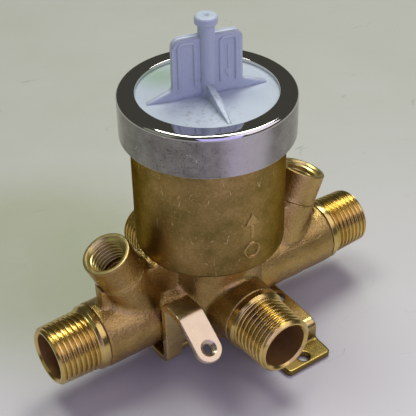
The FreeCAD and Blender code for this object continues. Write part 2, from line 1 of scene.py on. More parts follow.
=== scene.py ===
# %% [markdown]
# # Rough-in body of a shower valve
# A brass casting with four threaded ports, two leaning stop bosses, a chromed ring nut over a plastic
# test cap, and a folded steel bracket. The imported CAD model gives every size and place. This lesson
# gives each piece the surface that its making left on it: sand-cast skin, lathe-turned threads, bright
# plate, moulded plastic and yellow zinc. Lengths in the cells are millimetres; MM turns them to metres.

# %% The frame
import math

import bpy
import numpy as np
from mathutils import Matrix


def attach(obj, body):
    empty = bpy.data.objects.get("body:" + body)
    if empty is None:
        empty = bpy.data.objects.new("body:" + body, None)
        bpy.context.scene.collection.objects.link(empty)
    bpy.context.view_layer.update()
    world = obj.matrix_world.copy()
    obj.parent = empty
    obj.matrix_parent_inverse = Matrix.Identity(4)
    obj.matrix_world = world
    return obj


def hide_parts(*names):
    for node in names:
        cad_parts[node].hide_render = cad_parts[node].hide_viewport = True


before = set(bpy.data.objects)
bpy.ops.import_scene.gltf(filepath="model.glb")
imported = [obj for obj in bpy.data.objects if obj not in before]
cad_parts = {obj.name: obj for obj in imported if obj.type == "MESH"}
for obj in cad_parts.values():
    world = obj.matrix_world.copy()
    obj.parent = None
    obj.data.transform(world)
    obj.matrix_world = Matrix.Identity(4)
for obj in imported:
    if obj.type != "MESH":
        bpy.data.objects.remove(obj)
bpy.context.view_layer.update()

MM = 0.001
PORT_HEIGHT = 21.7          # the four port axes lie this far above the surface that the feet stand on
print("nodes:", ", ".join(sorted(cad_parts)))

# %% [markdown]
# ## Camera
# The photograph's camera was found by matching known sizes, such as the pipe threads, to their place in the
# picture. It stands to the front left and looks down at about 36 degrees. Three angles and a distance say
# that more plainly than a matrix would, so the matrix is worked out from them.

# %% Camera
AZIMUTH, ELEVATION, ROLL = math.radians(-34.968), math.radians(36.273), math.radians(-1.12)
DISTANCE, ASIDE, ABOVE = 383.56, -0.96, 25.66
FOCAL = 93.15               # for a sensor 36 mm wide
NEAREST, FARTHEST = 10, 20000


def stand(thing, x, y, z, place):
    """Gives an object its x, y and z directions and its place in mm, as the columns of one matrix."""
    matrix = np.eye(4)
    matrix[:3] = np.stack([x, y, z, np.array(place) * MM], 1)
    thing.matrix_world = Matrix(matrix.tolist())
    bpy.context.scene.collection.objects.link(thing)


back = np.array([math.sin(AZIMUTH) * math.cos(ELEVATION), -math.cos(AZIMUTH) * math.cos(ELEVATION),
                 math.sin(ELEVATION)])
level = np.array([math.cos(AZIMUTH), math.sin(AZIMUTH), 0.0])
upward = np.cross(back, level)
right = math.cos(ROLL) * level + math.sin(ROLL) * upward
over = -math.sin(ROLL) * level + math.cos(ROLL) * upward
eye = DISTANCE * back + ASIDE * right + ABOVE * over + np.array([0, 0, PORT_HEIGHT])

camera = bpy.data.objects.new("camera", bpy.data.cameras.new("camera"))
camera.data.lens = FOCAL
camera.data.clip_start, camera.data.clip_end = NEAREST * MM, FARTHEST * MM
stand(camera, right, over, back, eye)
bpy.context.scene.camera = camera
print("camera at", np.round(eye, 1), "mm")

# %% [markdown]
# ## Small tools for nodes
# Every material is a few nodes on one shader. One function adds a node, sets it and links it, and one turns
# the sRGB colours that a colour picker shows into the linear ones that the renderer adds up. Patterns are
# sized in millimetres on the real object: a noise of scale PER_MM / 2 has blots about 2 mm wide.

# %% Nodes and colours
PER_MM = 1 / MM
MIX_A, MIX_B = 6, 7         # where a colour Mix node takes its two colours
MOSTLY = {"From Min": 0.3, "From Max": 0.7}     # a noise stays between these nearly everywhere


def linear(code):
    """sRGB hex to linear RGBA: a channel c is c / 12.92 near black, else ((c + 0.055) / 1.055) ** 2.4."""
    c = np.array([int(code[i:i + 2], 16) for i in (1, 3, 5)]) / 255
    return (*np.where(c <= 0.04045, c / 12.92, ((c + 0.055) / 1.055) ** 2.4).tolist(), 1.0)


def at(x, y, z):
    """A place in mm as the metres that a socket takes."""
    return x * MM, y * MM, z * MM


def node(tree, kind, inputs=None, **settings):
    """Adds one shader node. settings are its own properties. inputs gives its sockets a value each, a colour
    as sRGB hex, or links them to an output, where a node stands for its first live output."""
    made = tree.nodes.new("ShaderNode" + kind)
    for name, value in settings.items():
        setattr(made, name, value)
    for socket, value in (inputs or {}).items():
        if isinstance(value, bpy.types.Node):
            value = next(out for out in value.outputs if out.enabled)
        if isinstance(value, bpy.types.NodeSocket):
            tree.links.new(value, made.inputs[socket])
        else:
            made.inputs[socket].default_value = linear(value) if isinstance(value, str) else value
    return made


def material(name):
    """An empty material. Returns it, its node tree and the Object coordinates that its patterns work from."""
    made = bpy.data.materials.new(name)
    made.use_nodes = True
    made.node_tree.nodes.clear()
    return made, made.node_tree, node(made.node_tree, "TexCoord").outputs["Object"]


def scratches(tree, place, turn, stretch, size, width, share):
    """Fine lines, 1 on a line and 0 beside it: the contour where a stretched noise passes its middle value.
    A second noise keeps them on a share of the surface only, so that they are short."""
    laid = node(tree, "Mapping", {"Vector": place, "Rotation": turn, "Scale": stretch})
    waves = node(tree, "TexNoise", {"Vector": laid, "Scale": PER_MM / size, "Detail": 1.0})
    past_middle = node(tree, "Math", {0: waves, 1: 0.5}, operation="SUBTRACT")
    off_line = node(tree, "Math", {0: past_middle}, operation="ABSOLUTE")
    line = node(tree, "MapRange", {"Value": off_line, "From Min": 0.3 * width, "From Max": width,
                                   "To Min": 1.0, "To Max": 0.0})
    patches = node(tree, "TexNoise", {"Vector": laid, "Scale": PER_MM / size * 1.7, "Detail": 2.0})
    kept = node(tree, "MapRange", {"Value": patches, "From Min": 1 - share, "From Max": 1.04 - share})
    return node(tree, "Math", {0: line, 1: kept}, operation="MULTIPLY")


print("a mid grey, #808080, is", round(linear("#808080")[0], 3), "in linear light")

# %% [markdown]
# ## Floor and light
# The valve lies on a pale table top. The main light is a pair of ceiling panels above and behind it. They
# leave the front of the cup in its own shade and lay two soft shadows towards the viewer, one to each side. A
# low lavender panel in front fills the shade and the shadows, and a weak greenish one does the same on the
# left. A window to the front right adds little light, but the tongue, the bands and the arms mirror it. The
# room is dark otherwise, and the flat top of the nut shows it.

# %% Floor
# A satin laminate, grey with a breath of green, with cloudy wipe marks and scuffs. Its near side is painted
# lighter, a painted pool of the window's light, and a darker green patch behind the left arm is painted shade
PAINTED_LIGHT_AT, PAINTED_SHADE_AT = (-110, -210, 0), (-33, 74, 0)
LAMINATE, tree, place = material("laminate_table_top_wiped")
wiped = node(tree, "TexNoise", {"Vector": place, "Scale": PER_MM / 70, "Detail": 5.0, "Roughness": 0.65})
# Painted light: the floor is lighter towards the near side, where the window's light falls
far = node(tree, "VectorMath", {0: place, 1: at(*PAINTED_LIGHT_AT)}, operation="DISTANCE")
painted_light = node(tree, "MapRange", {"Value": far, "From Min": 110 * MM, "From Max": 400 * MM,
                                   "To Min": 1.0, "To Max": 0.0})
ground = node(tree, "Mix", {"Factor": painted_light, MIX_A: "#babdaf", MIX_B: "#d8d4d9"}, data_type="RGBA")
# Painted shade: a darker green patch on the floor behind the left arm, where less light falls
far = node(tree, "VectorMath", {0: place, 1: at(*PAINTED_SHADE_AT)}, operation="DISTANCE")
painted_shade = node(tree, "MapRange", {"Value": far, "From Min": 30 * MM, "From Max": 78 * MM,
                                  "To Min": 0.85, "To Max": 0.0}, interpolation_type="SMOOTHSTEP")
cloudy = node(tree, "MapRange", {"Value": wiped, **MOSTLY, "To Max": 0.3})
scuffs = scratches(tree, place, (0, 0, 0.6), (1.0, 3.0, 1.0), 40.0, 0.003, 0.42)
faint = node(tree, "Math", {0: scuffs, 1: 0.3}, operation="MULTIPLY")
for share, colour in ((painted_shade, "#a6ad8c"), (cloudy, "#cfcfcc"), (faint, "#7f8078")):
    ground = node(tree, "Mix", {"Factor": share, MIX_A: ground, MIX_B: colour}, data_type="RGBA")
shader = node(tree, "BsdfPrincipled", {"Base Color": ground, "Roughness": 0.5})
node(tree, "OutputMaterial", {"Surface": shader})

FLOOR_HALF = 2000.0
floor_mesh = bpy.data.meshes.new("floor")
square = np.array([(-1, -1, 0), (1, -1, 0), (1, 1, 0), (-1, 1, 0)]) * FLOOR_HALF * MM
floor_mesh.from_pydata(square.tolist(), [], [(0, 1, 2, 3)])
floor_mesh.materials.append(LAMINATE)
floor = bpy.data.objects.new("floor", floor_mesh)
bpy.context.scene.collection.objects.link(floor)

# %% Light
LIT_POINT = np.array([0, 0, 50.0])
ROOM_GLOW = 0.07


def panel(name, towards, distance, size, power, colour):
    """A square soft light: stands at a distance in a direction from the cup's middle and faces it."""
    towards = np.array(towards) / np.linalg.norm(towards)
    lamp = bpy.data.lights.new(name, "AREA")
    lamp.shape, lamp.size, lamp.energy, lamp.color = "SQUARE", size * MM, power, linear(colour)[:3]
    across = np.cross([0.0, 0.0, 1.0], towards)
    across /= np.linalg.norm(across)
    holder = bpy.data.objects.new(name, lamp)
    holder.visible_camera = False
    stand(holder, across, np.cross(towards, across), towards, LIT_POINT + towards * distance)


panel("ceiling_right_panel", (1.10, 0.72, 2.4), 1100, 440, 5.4, "#fbfdf6")
panel("ceiling_left_panel", (-0.30, 0.72, 2.4), 1100, 440, 4.4, "#fbfdf6")
panel("front_panel", (-0.34, -0.94, 0.44), 900, 820, 3.0, "#c2b7ff")
panel("left_panel", (-0.90, 0.10, 0.45), 900, 600, 0.3, "#f4ffea")
panel("window_panel", (0.42, -0.54, 0.73), 650, 540, 1.25, "#f6ecff")
world = bpy.data.worlds.new("room")
world.use_nodes = True
world.node_tree.nodes["Background"].inputs["Color"].default_value = linear("#fcfcea")
world.node_tree.nodes["Background"].inputs["Strength"].default_value = ROOM_GLOW
bpy.context.scene.world = world
bpy.context.scene.view_settings.view_transform = "Standard"
print("floor and", len(bpy.data.lights), "panels")

# %% [markdown]
# ## Brass
# The casting is yellow brass poured in a sand mould and then shot-blasted, so its skin is matt, tan and
# finely pitted. Where a lathe has cut, the metal is bright yellow. The cup was smoothed with a belt and then
# tumbled, which leaves it satin and olive, with light scratches all over. The drilled sockets have gone
# brown. The finishes share one alloy, so they differ mostly in how deep the colour is, in roughness and in
# relief.

# %% Cast brass
# Rough metal spreads each light over a wide patch, so the arms look like tan stone rather than like mirrors,
# and the grains that the sand has left sparkle where they tip towards a light. Real ones are about 0.3 mm
# wide; they are drawn 0.8 mm wide, which is as fine as shows
CAST, tree, place = material("sand_cast_brass_shot_blasted")
cloud = node(tree, "TexNoise", {"Vector": place, "Scale": PER_MM / 9, "Detail": 4.0, "Roughness": 0.6})
grains = node(tree, "TexNoise", {"Vector": place, "Scale": PER_MM / 0.8, "Detail": 3.0, "Roughness": 0.7})
skin = node(tree, "Mix", {"Factor": cloud, MIX_A: "#9c7e42", MIX_B: "#ceaf6f"}, data_type="RGBA")
pits = node(tree, "MapRange", {"Value": grains, "From Min": 0.3, "From Max": 0.44,
                               "To Min": 0.5, "To Max": 0.0})
skin = node(tree, "Mix", {"Factor": pits, MIX_A: skin, MIX_B: "#5a4527"}, data_type="RGBA")
gloss = node(tree, "MapRange", {"Value": grains, **MOSTLY, "To Min": 0.38, "To Max": 0.24})
relief = node(tree, "Bump", {"Height": grains, "Strength": 0.85, "Distance": 0.25 * MM})
shader = node(tree, "BsdfPrincipled", {"Base Color": skin, "Metallic": 1.0, "Roughness": gloss,
                                       "Normal": relief})
node(tree, "OutputMaterial", {"Surface": shader})

# %% Smoothed and tumbled brass
# The belt's fine rings stretch each highlight upwards: the tangent runs round the axis and the stretch is a
# quarter turn from it. The edge tint keeps the metal olive where it turns away from the eye. The dents of
# tumbling are finer than shows, so they are drawn 0.9 mm wide, and short scratches catch the light
SATIN, tree, place = material("smoothed_brass_tumbled_satin")
around = node(tree, "Tangent", direction_type="RADIAL", axis="Z")
cloud = node(tree, "TexNoise", {"Vector": place, "Scale": PER_MM / 14, "Detail": 5.0, "Roughness": 0.65})
speckle = node(tree, "TexNoise", {"Vector": place, "Scale": PER_MM / 0.9, "Detail": 3.0, "Roughness": 0.65})
patchy = node(tree, "MapRange", {"Value": cloud, "From Min": 0.34, "From Max": 0.66})
skin = node(tree, "Mix", {"Factor": patchy, MIX_A: "#87753e", MIX_B: "#b89a60"}, data_type="RGBA")
dents = node(tree, "MapRange", {"Value": speckle, "From Min": 0.35, "From Max": 0.65,
                                "To Min": 0.3, "To Max": 0.0})
rubbed_and_sheen = node(tree, "MapRange", {"Value": speckle, "From Min": 0.6, "From Max": 0.75, "To Max": 0.5})
leaning = scratches(tree, place, (0.4, 0.2, 0.7), (1.0, 1.0, 0.3), 3.5, 0.012, 0.39)
crossing = scratches(tree, place, (0.9, 0.5, 0.1), (0.3, 1.0, 1.0), 3.0, 0.012, 0.38)
marks = node(tree, "Math", {0: leaning, 1: crossing}, operation="MAXIMUM")
for share, colour in ((dents, "#5f4d26"), (rubbed_and_sheen, "#c2ab7c"), (marks, "#d2bd8b")):
    skin = node(tree, "Mix", {"Factor": share, MIX_A: skin, MIX_B: colour}, data_type="RGBA")
gloss = node(tree, "MapRange", {"Value": cloud, **MOSTLY, "To Min": 0.46, "To Max": 0.38})
relief = node(tree, "Bump", {"Height": speckle, "Strength": 0.5, "Distance": 0.1 * MM})
shader = node(tree, "BsdfPrincipled", {
    "Base Color": skin, "Metallic": 1.0, "Specular Tint": "#948352", "Roughness": gloss, "Normal": relief,
    "Tangent": around, "Anisotropic": 0.3, "Anisotropic Rotation": 0.25})
node(tree, "OutputMaterial", {"Surface": shader})

# %% Machined brass
# Freshly cut metal is the brightest and yellowest on the valve, a little uneven from cutting oil and fingers.
# A faced and tapped mouth keeps the tool's fine marks, so it is paler and has no sharp mirror image
MACHINED = (("machined_brass_bright", 4, "#c4a558", "#e2c983", 0.28, 0.17),
            ("machined_brass_faced", 2, "#c9b063", "#e6d79a", 0.42, 0.28))
machined = []
for name, blot, dull, fresh, rough, smooth in MACHINED:
    made, tree, place = material(name)
    cloud = node(tree, "TexNoise", {"Vector": place, "Scale": PER_MM / blot, "Detail": 3.0})
    skin = node(tree, "Mix", {"Factor": cloud, MIX_A: dull, MIX_B: fresh}, data_type="RGBA")
    gloss = node(tree, "MapRange", {"Value": cloud, **MOSTLY, "To Min": rough, "To Max": smooth})
    shader = node(tree, "BsdfPrincipled", {"Base Color": skin, "Metallic": 1.0, "Roughness": gloss})
    node(tree, "OutputMaterial", {"Surface": shader})
    machined.append(made)
BRIGHT, FACED = machined

# %% Drilled brass
# A thin brown oxide lies on the sockets. They mirror less and scatter more, so they read as dull brown holes
DRILLED, tree, place = material("drilled_brass_tarnished")
cloud = node(tree, "TexNoise", {"Vector": place, "Scale": PER_MM / 3, "Detail": 4.0, "Roughness": 0.6})
skin = node(tree, "Mix", {"Factor": cloud, MIX_A: "#937040", MIX_B: "#bd955a"}, data_type="RGBA")
shader = node(tree, "BsdfPrincipled", {"Base Color": skin, "Metallic": 0.6, "Roughness": 0.38})
node(tree, "OutputMaterial", {"Surface": shader})
print("brass:", CAST.name, SATIN.name, BRIGHT.name, FACED.name, DRILLED.name)

# %% [markdown]
# ## Turned pieces
# Nuts, sleeves and pipe ends are turned on a lathe: one half-section swept round an axis. The section is an
# array of (radius, height) points, with every corner rounded a little, because a real edge is never sharp
# and the rounding is what catches the light. Sweeping it gives a grid of points, rows along the section and
# columns round the axis, and the grid's neighbours make the faces.

# %% Sections
PLAIN_STEPS = 12            # a wall without a thread gets one extra point for this many on a threaded one


def rounded_section(corners, steps=5):
    """Closed section through corners (radius, height, rounding), each corner replaced by a tangent arc.
    With a and b the directions to its neighbours and t half the angle between them, the arc's centre lies
    rounding / sin(t) along a + b, and the arc swings from a to b through pi - 2 t. Runs anticlockwise."""
    corners = np.array(corners, float)
    point, rounding = corners[:, :2], corners[:, 2:]
    a = np.roll(point, 1, 0) - point
    b = np.roll(point, -1, 0) - point
    a /= np.linalg.norm(a, axis=1, keepdims=True)
    b /= np.linalg.norm(b, axis=1, keepdims=True)
    t = np.arccos(np.clip((a * b).sum(1, keepdims=True), -1, 1)) / 2
    middle = (a + b) / np.linalg.norm(a + b, axis=1, keepdims=True)
    centre = point + middle * rounding / np.sin(t)
    start = point + a * rounding / np.tan(t) - centre
    end = point + b * rounding / np.tan(t) - centre
    swing = (math.pi - 2 * t)[:, :, None]
    w = np.linspace(0, 1, steps)[None, :, None]
    arc = (np.sin((1 - w) * swing) * start[:, None] + np.sin(w * swing) * end[:, None]) / np.sin(swing)
    section = (centre[:, None] + arc).reshape(-1, 2)
    r, h = section.T
    return section if (r * np.roll(h, -1) - np.roll(r, -1) * h).sum() > 0 else section[::-1]


def denser(section, low, high, step, bore=0.0):
    """The closed section with extra points every step along it where its height is from low to high. A wall
    that lies within the radius bore has no thread, so it gets fewer of them."""
    loop = np.vstack([section, section[:1]])
    along = np.concatenate([[0], np.cumsum(np.linalg.norm(np.diff(loop, axis=0), axis=1))])
    extra = np.arange(0, along[-1], step)
    radius, height = (np.interp(extra, along, loop[:, k]) for k in (0, 1))
    wanted = (radius > bore) | (np.arange(len(extra)) % PLAIN_STEPS == 0)
    wanted &= (height > low) & (height < high)
    kept = np.unique(np.concatenate([along[:-1], extra[wanted]]).round(6))
    return np.stack([np.interp(kept, along, loop[:, k]) for k in (0, 1)], 1)


def eased(value, low, high):
    """0 below low, 1 above high, and a smooth step x x (3 - 2 x) between them."""
    x = np.clip((value - low) / (high - low), 0, 1)
    return x * x * (3 - 2 * x)

# %% Sweeping and meshing
UP = np.array([0.0, 0.0, 1.0])
STEPS_PER_MM = 1e5          # points that round to the same of these steps are one point


def swept(radius, height, axis=UP, foot=(0, 0, 0)):
    """Points foot + r (cos a e + sin a f) + h axis for rows of heights h and radii r of each row and column.
    e and f are what the x and y axes become when z is tipped over to the axis by the shortest way."""
    axis = np.array(axis, float)
    e = np.array([1.0, 0, 0]) - axis[0] / (1 + axis[2]) * (axis + UP)
    f = np.array([0, 1.0, 0]) - axis[1] / (1 + axis[2]) * (axis + UP)
    angle = np.linspace(0, 2 * math.pi, radius.shape[1], endpoint=False)[:, None]
    round_axis = np.cos(angle) * e + np.sin(angle) * f
    return np.array(foot) + radius[..., None] * round_axis + height[:, None, None] * axis


def lathe(section, columns):
    """A section swept round the upright axis, with no thread."""
    return swept(np.repeat(section[:, :1], columns, 1), section[:, 1])


def piece(name, grid, materials, body, slot, nodes, rows_closed=True, finish=None):
    """Makes a smooth mesh of a grid of points in mm. Face (i, j) joins points (i, j), (i, j + 1),
    (i + 1, j + 1) and (i + 1, j); columns always close, rows close on themselves if rows_closed. finish gives
    each row's material. Points that fall together, as at a pole, become one, and faces there triangles."""
    rows, columns = grid.shape[:2]
    points = grid.reshape(-1, 3)
    i, j = np.arange(rows if rows_closed else rows - 1)[:, None], np.arange(columns)[None, :]
    below, beside = (i + 1) % rows, (j + 1) % columns
    row, next_row = i * columns, below * columns
    quads = np.stack([row + j, row + beside, next_row + beside, next_row + j], -1)
    key = (points * STEPS_PER_MM).round().astype(np.int64)
    first, same = np.unique(key, axis=0, return_index=True, return_inverse=True)[1:]
    quads = same.reshape(-1)[quads.reshape(-1, 4)]
    number = np.repeat(np.zeros(rows, int) if finish is None else finish, columns)[:len(quads)]
    twin = quads == np.roll(quads, -1, 1)
    good, pinched = ~twin.any(1), twin.sum(1) == 1
    narrow, tie = quads[pinched], twin[pinched]
    triangles = np.where(tie[:, [0]], narrow[:, [1, 2, 3]], narrow[:, [0, 1, 2]])
    triangles = np.where(tie[:, [1]], narrow[:, [0, 1, 3]], triangles)
    mesh = bpy.data.meshes.new(name)
    mesh.from_pydata((points[first] * MM).tolist(), [], quads[good].tolist() + triangles.tolist())
    number = np.concatenate([number[good], number[pinched]])
    return add_piece(name, mesh, materials, body, nodes, number)


def add_piece(name, mesh, materials, body, nodes, number=None):
    """Shades a mesh smooth, gives its faces their materials and puts it into the scene as a piece that rides
    on a body and stands for CAD nodes."""
    mesh.materials.clear()
    for m in materials:
        mesh.materials.append(m)
    count = len(mesh.polygons)
    number = np.zeros(count) if number is None else number
    mesh.polygons.foreach_set("material_index", number.astype(np.int32))
    mesh.polygons.foreach_set("use_smooth", np.ones(count, bool))
    made = bpy.data.objects.new(name, mesh)
    bpy.context.scene.collection.objects.link(made)
    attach(made, body)
    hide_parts(*nodes)
    print(name, count, "faces")
    return made

# %% [markdown]
# ## Threads
# A screw thread is a groove wound round a cylinder. For a point at height h and angle a its phase is
# h / pitch - a / turn: where the phase is a whole number lies the middle of the groove. So a thread needs no
# special path, only a radius that depends on the phase, and it can fade out where the cutter was drawn back.

# %% Thread form
FLANK = math.tan(math.radians(30))
ROOT_FLAT = 0.2
FORM_EASE = 0.12            # share of the flank's height over which the easing reaches past it


def ridge(height, columns, pitch, depth):
    """How far the thread stands, 0 at the root and 1 at the crest, for rows of heights and columns round the
    axis. With d the distance along the axis to the nearest groove's middle, the flank rises from half the
    root's flat by one for each tan(30 degrees) of d: a 60 degree V. Easing it rounds the crest and the root,
    as a die does."""
    phase = height[:, None] / pitch - np.arange(columns)[None, :] / columns
    d = np.abs(phase - np.round(phase)) * pitch
    return eased((d - ROOT_FLAT / 2) / (depth * FLANK), -FORM_EASE, 1 + FORM_EASE)

# %% [markdown]
# ## Port ends
# Each port ends in a half-inch taper pipe thread, 14 threads to the inch, round a socket for copper tube. A
# smooth turned band stands behind the thread, and the first thread is cut away in a chamfer at the mouth.
# The left and rear ends are the right and front ones turned half round, as they are on the casting.

# %% Port ends
INLET_REACH, OUTLET_REACH = 65.9, 42.8
THREAD_LENGTH, THREAD_RUNOUT, BAND_LENGTH = 14.6, 1.1, 2.0
PIPE_PITCH, PIPE_THREAD_DEPTH, MOUTH_CHAMFER = 25.4 / 14, 1.2, 1.0
PIPE_RADIUS, PIPE_TAPER, BAND_RADIUS = 10.67, 1 / 32, 11.4
TUBE_RADIUS, WATERWAY_RADIUS, SOCKET_DEPTH, SOCKET_CHAMFER = 7.97, 5.5, 12.7, 0.7
GROOVE_FROM, GROOVE_FULL = -0.2, 1.2    # the groove fades in between these, from the thread's inner end
PORT_ROWS, PORT_ROWS_FROM = 20, -0.6    # rows for one pitch, and where they start, from the same place
PORT_COLUMNS = 180
ON_WALL, NEAR_WALL = 0.02, 0.05         # how far off a wall a point may be and still belong to it
HALF_TURN = np.array([-1, -1, 1])


def port_ends(name, other, reach, axis):
    """A turned pipe end and its twin: the section swept round the port's axis, with the thread's groove taken
    off its radius. The groove fades in at the thread's inner end. Its depth counts from a cylinder that
    widens behind the thread, and the tapered outside and the chamfer at the mouth limit the radius."""
    start = reach - THREAD_LENGTH
    small = PIPE_RADIUS - THREAD_LENGTH * PIPE_TAPER
    band = start - THREAD_RUNOUT
    section = rounded_section([
        (WATERWAY_RADIUS, band - BAND_LENGTH, 0.0),
        (BAND_RADIUS, band - BAND_LENGTH, 0.15),
        (BAND_RADIUS, band, 0.2),
        (PIPE_RADIUS, start, 0.3),
        (small, reach - MOUTH_CHAMFER, 0.1),
        (small - MOUTH_CHAMFER, reach, 0.1),
        (TUBE_RADIUS + SOCKET_CHAMFER, reach, 0.1),
        (TUBE_RADIUS, reach - SOCKET_CHAMFER, 0.15),
        (TUBE_RADIUS, reach - SOCKET_DEPTH, 0.1),
        (WATERWAY_RADIUS, reach - SOCKET_DEPTH, 0.2),
    ])
    section = denser(section, start + PORT_ROWS_FROM, reach, PIPE_PITCH / PORT_ROWS, TUBE_RADIUS + ON_WALL)
    r, h = section[:, :1], section[:, 1:]
    threaded = r > small - MOUTH_CHAMFER - NEAR_WALL
    depth = PIPE_THREAD_DEPTH * eased(h, start + GROOVE_FROM, start + GROOVE_FULL) * threaded
    outside = np.maximum(PIPE_RADIUS - (h - start) * PIPE_TAPER, PIPE_RADIUS)
    groove = outside - depth * (1 - ridge(h[:, 0] - reach, PORT_COLUMNS, PIPE_PITCH, PIPE_THREAD_DEPTH))
    radius = np.where(threaded & (h > start + GROOVE_FROM), np.minimum(r, groove), r)
    grid = swept(radius, h[:, 0], axis, (0, 0, PORT_HEIGHT))
    bored = ((r < TUBE_RADIUS + ON_WALL) & (h < reach - SOCKET_CHAMFER)).astype(int)[:, 0]
    for ending, points in ((name, grid), (other, grid * HALF_TURN)):
        piece(ending + "_thread", points, [BRIGHT, DRILLED], "body", "cast_brass", [ending], finish=bored)


port_ends("right_inlet_end", "left_inlet_end", INLET_REACH, (1, 0, 0))
port_ends("front_outlet_end", "rear_outlet_end", OUTLET_REACH, (0, -1, 0))

# %% [markdown]
# ## Stop sleeves
# The two bosses that lean out from the inlet arms take screw-in stop valves. Their outside is cast, their
# mouths are faced flat, countersunk and tapped with about 16 threads to the inch.

# %% Stop sleeves
STOP_LEAN, STOP_FOOT, STOP_REACH, STOP_THREAD_END = math.radians(24), 26.9, 34.7, 23.7
COLLAR_RADIUS, CHAMBER_RADIUS, CHAMBER_LENGTH, CHAMBER_INSET = 8.3, 8.7, 25.2, 0.1
STOP_RADIUS, STOP_SINK_RADIUS, STOP_PITCH, STOP_THREAD_DEPTH = 6.35, 7.0, 1.6, 0.85
TAP_IN, TAP_OUT = 1.0, 0.5              # the thread fades over these lengths at its two ends
FACED_WITHIN = 0.3                      # the lathe's cut ends this far inside the collar's edge
SLEEVE_ROWS, SLEEVE_COLUMNS = 12, 96

sink_foot = STOP_REACH - (STOP_SINK_RADIUS - STOP_RADIUS)
section = rounded_section([
    (STOP_RADIUS, STOP_THREAD_END, 0.1),
    (CHAMBER_RADIUS - CHAMBER_INSET, STOP_THREAD_END, 0.1),
    (COLLAR_RADIUS, CHAMBER_LENGTH, 2.0),
    (COLLAR_RADIUS, STOP_REACH, 0.45),
    (STOP_SINK_RADIUS, STOP_REACH, 0.12),
    (STOP_RADIUS, sink_foot, 0.15),
])
section = denser(section, STOP_THREAD_END, sink_foot - NEAR_WALL, STOP_PITCH / SLEEVE_ROWS)
r, h = section[:, :1], section[:, 1:]
tapped = r < STOP_RADIUS + NEAR_WALL
depth = STOP_THREAD_DEPTH * tapped * eased(h, STOP_THREAD_END, STOP_THREAD_END + TAP_IN)
depth = depth * (1 - eased(h, sink_foot - TAP_OUT, sink_foot))
radius = r - depth * ridge(h[:, 0], SLEEVE_COLUMNS, STOP_PITCH, STOP_THREAD_DEPTH)
grid = swept(radius, h[:, 0], (math.sin(STOP_LEAN), 0, math.cos(STOP_LEAN)), (STOP_FOOT, 0, PORT_HEIGHT))
faced = 1 - ((r > COLLAR_RADIUS - FACED_WITHIN) & (h < STOP_REACH - NEAR_WALL)).astype(int)[:, 0]
for name, points in (("right_stop_sleeve", grid), ("left_stop_sleeve", grid * HALF_TURN)):
    piece(name + "_tapped", points, [CAST, FACED], "body", "cast_brass", [name], finish=faced)

# %% [markdown]
# ## Cup
# The cup holds the mixing cartridge. It is round all over: a plain smoothed outside, a bored inside, and a
# neck with a fine thread for the ring nut, which shows only when the nut is screwed up.

# %% Cup
CUP_RADIUS, BORE_RADIUS, NECK_RADIUS, HUB_RADIUS = 25.45, 21.85, 25.0, 18.0
CUP_BASE, CUP_RIM, CUP_FLOOR_TOP, CUP_SHOULDER = 43.7, 95.9, 48.2, 84.3
NUT_PITCH, NUT_THREAD_DEPTH = 1.5, 0.65
NECK_FROM, NECK_FULL = 0.6, 1.8         # the thread fades in between these, above the shoulder
LAP, SINK_IN = 1.0, 0.5                 # its floor reaches this far into the hub, this far below the top
BORE_EDGE = 0.5                         # the bore's wall and its rounded edge lie within this of the bore
CUP_ROWS, CUP_COLUMNS = 8, 192

section = rounded_section([
    (HUB_RADIUS - LAP, CUP_BASE, 0.0),
    (CUP_RADIUS, CUP_BASE, 1.2),
    (CUP_RADIUS, CUP_SHOULDER, 0.15),
    (NECK_RADIUS, CUP_SHOULDER, 0.1),
    (NECK_RADIUS, CUP_RIM, 0.6),
    (BORE_RADIUS, CUP_RIM, 0.4),
    (BORE_RADIUS, CUP_FLOOR_TOP - SINK_IN, 0.0),
    (HUB_RADIUS - LAP, CUP_FLOOR_TOP - SINK_IN, 0.0),
])
section = denser(section, CUP_SHOULDER, CUP_RIM, NUT_PITCH / CUP_ROWS, BORE_RADIUS + BORE_EDGE)
r, h = section[:, :1], section[:, 1:]
outside = r > (BORE_RADIUS + NECK_RADIUS) / 2
depth = NUT_THREAD_DEPTH * outside * eased(h, CUP_SHOULDER + NECK_FROM, CUP_SHOULDER + NECK_FULL)
radius = r - depth * (1 - ridge(h[:, 0], CUP_COLUMNS, NUT_PITCH, NUT_THREAD_DEPTH))
piece("cup_turned", swept(radius, h[:, 0]), [SATIN], "body", "cast_brass", ["valve_cup"])

# %% [markdown]
# Foundries leave raised marks on a casting. Here they are plain ones: an arrow that says which way is up and
# a blank ring. A mark is a small height field: its skin lies just under the wall and rises through it where a
# signed distance to the mark's outline is negative, with flanks that slope as a mould needs.

# %% Raised marks
SUNK, BACK = 0.25, 0.8
SLOPE_OUTSIDE, SLOPE_INSIDE = 0.2, 0.35


def arrow(u, v, half_shaft, half_head, tail, neck, tip):
    """Signed distance, negative inside, to an arrow along v: a bar from tail to neck and a triangle to the
    tip."""
    bar = np.maximum(np.abs(u) - half_shaft, np.abs(v - (tail + neck) / 2) - abs(neck - tail) / 2)
    slope = math.hypot(half_head, tip - neck)
    sign = np.sign(tip - neck)
    flank = (np.abs(u) * abs(tip - neck) + sign * (v - tip) * half_head) / slope
    return np.minimum(bar, np.maximum(flank, sign * (neck - v)))


def raised_mark(name, distance, u, v, rise, lay, finish, body, slot, nodes):
    """A closed patch over u and v. Its front stands rise above the wall inside the outline and SUNK below it
    outside, its back lies BACK below, and both meet along the top and bottom. lay turns u, v and a height
    above the wall into points."""
    inside = eased(-distance(u[None, :], v[:, None]), -SLOPE_OUTSIDE, SLOPE_INSIDE)
    height = inside * (rise + SUNK) - SUNK
    height[[0, -1]] = -BACK
    front = lay(u[None, :], v[:, None], height)
    behind = lay(u[None, ::-1], v[:, None], np.full_like(height, -BACK))
    return piece(name, np.concatenate([front, behind], 1), [finish], body, slot, nodes, rows_closed=False)

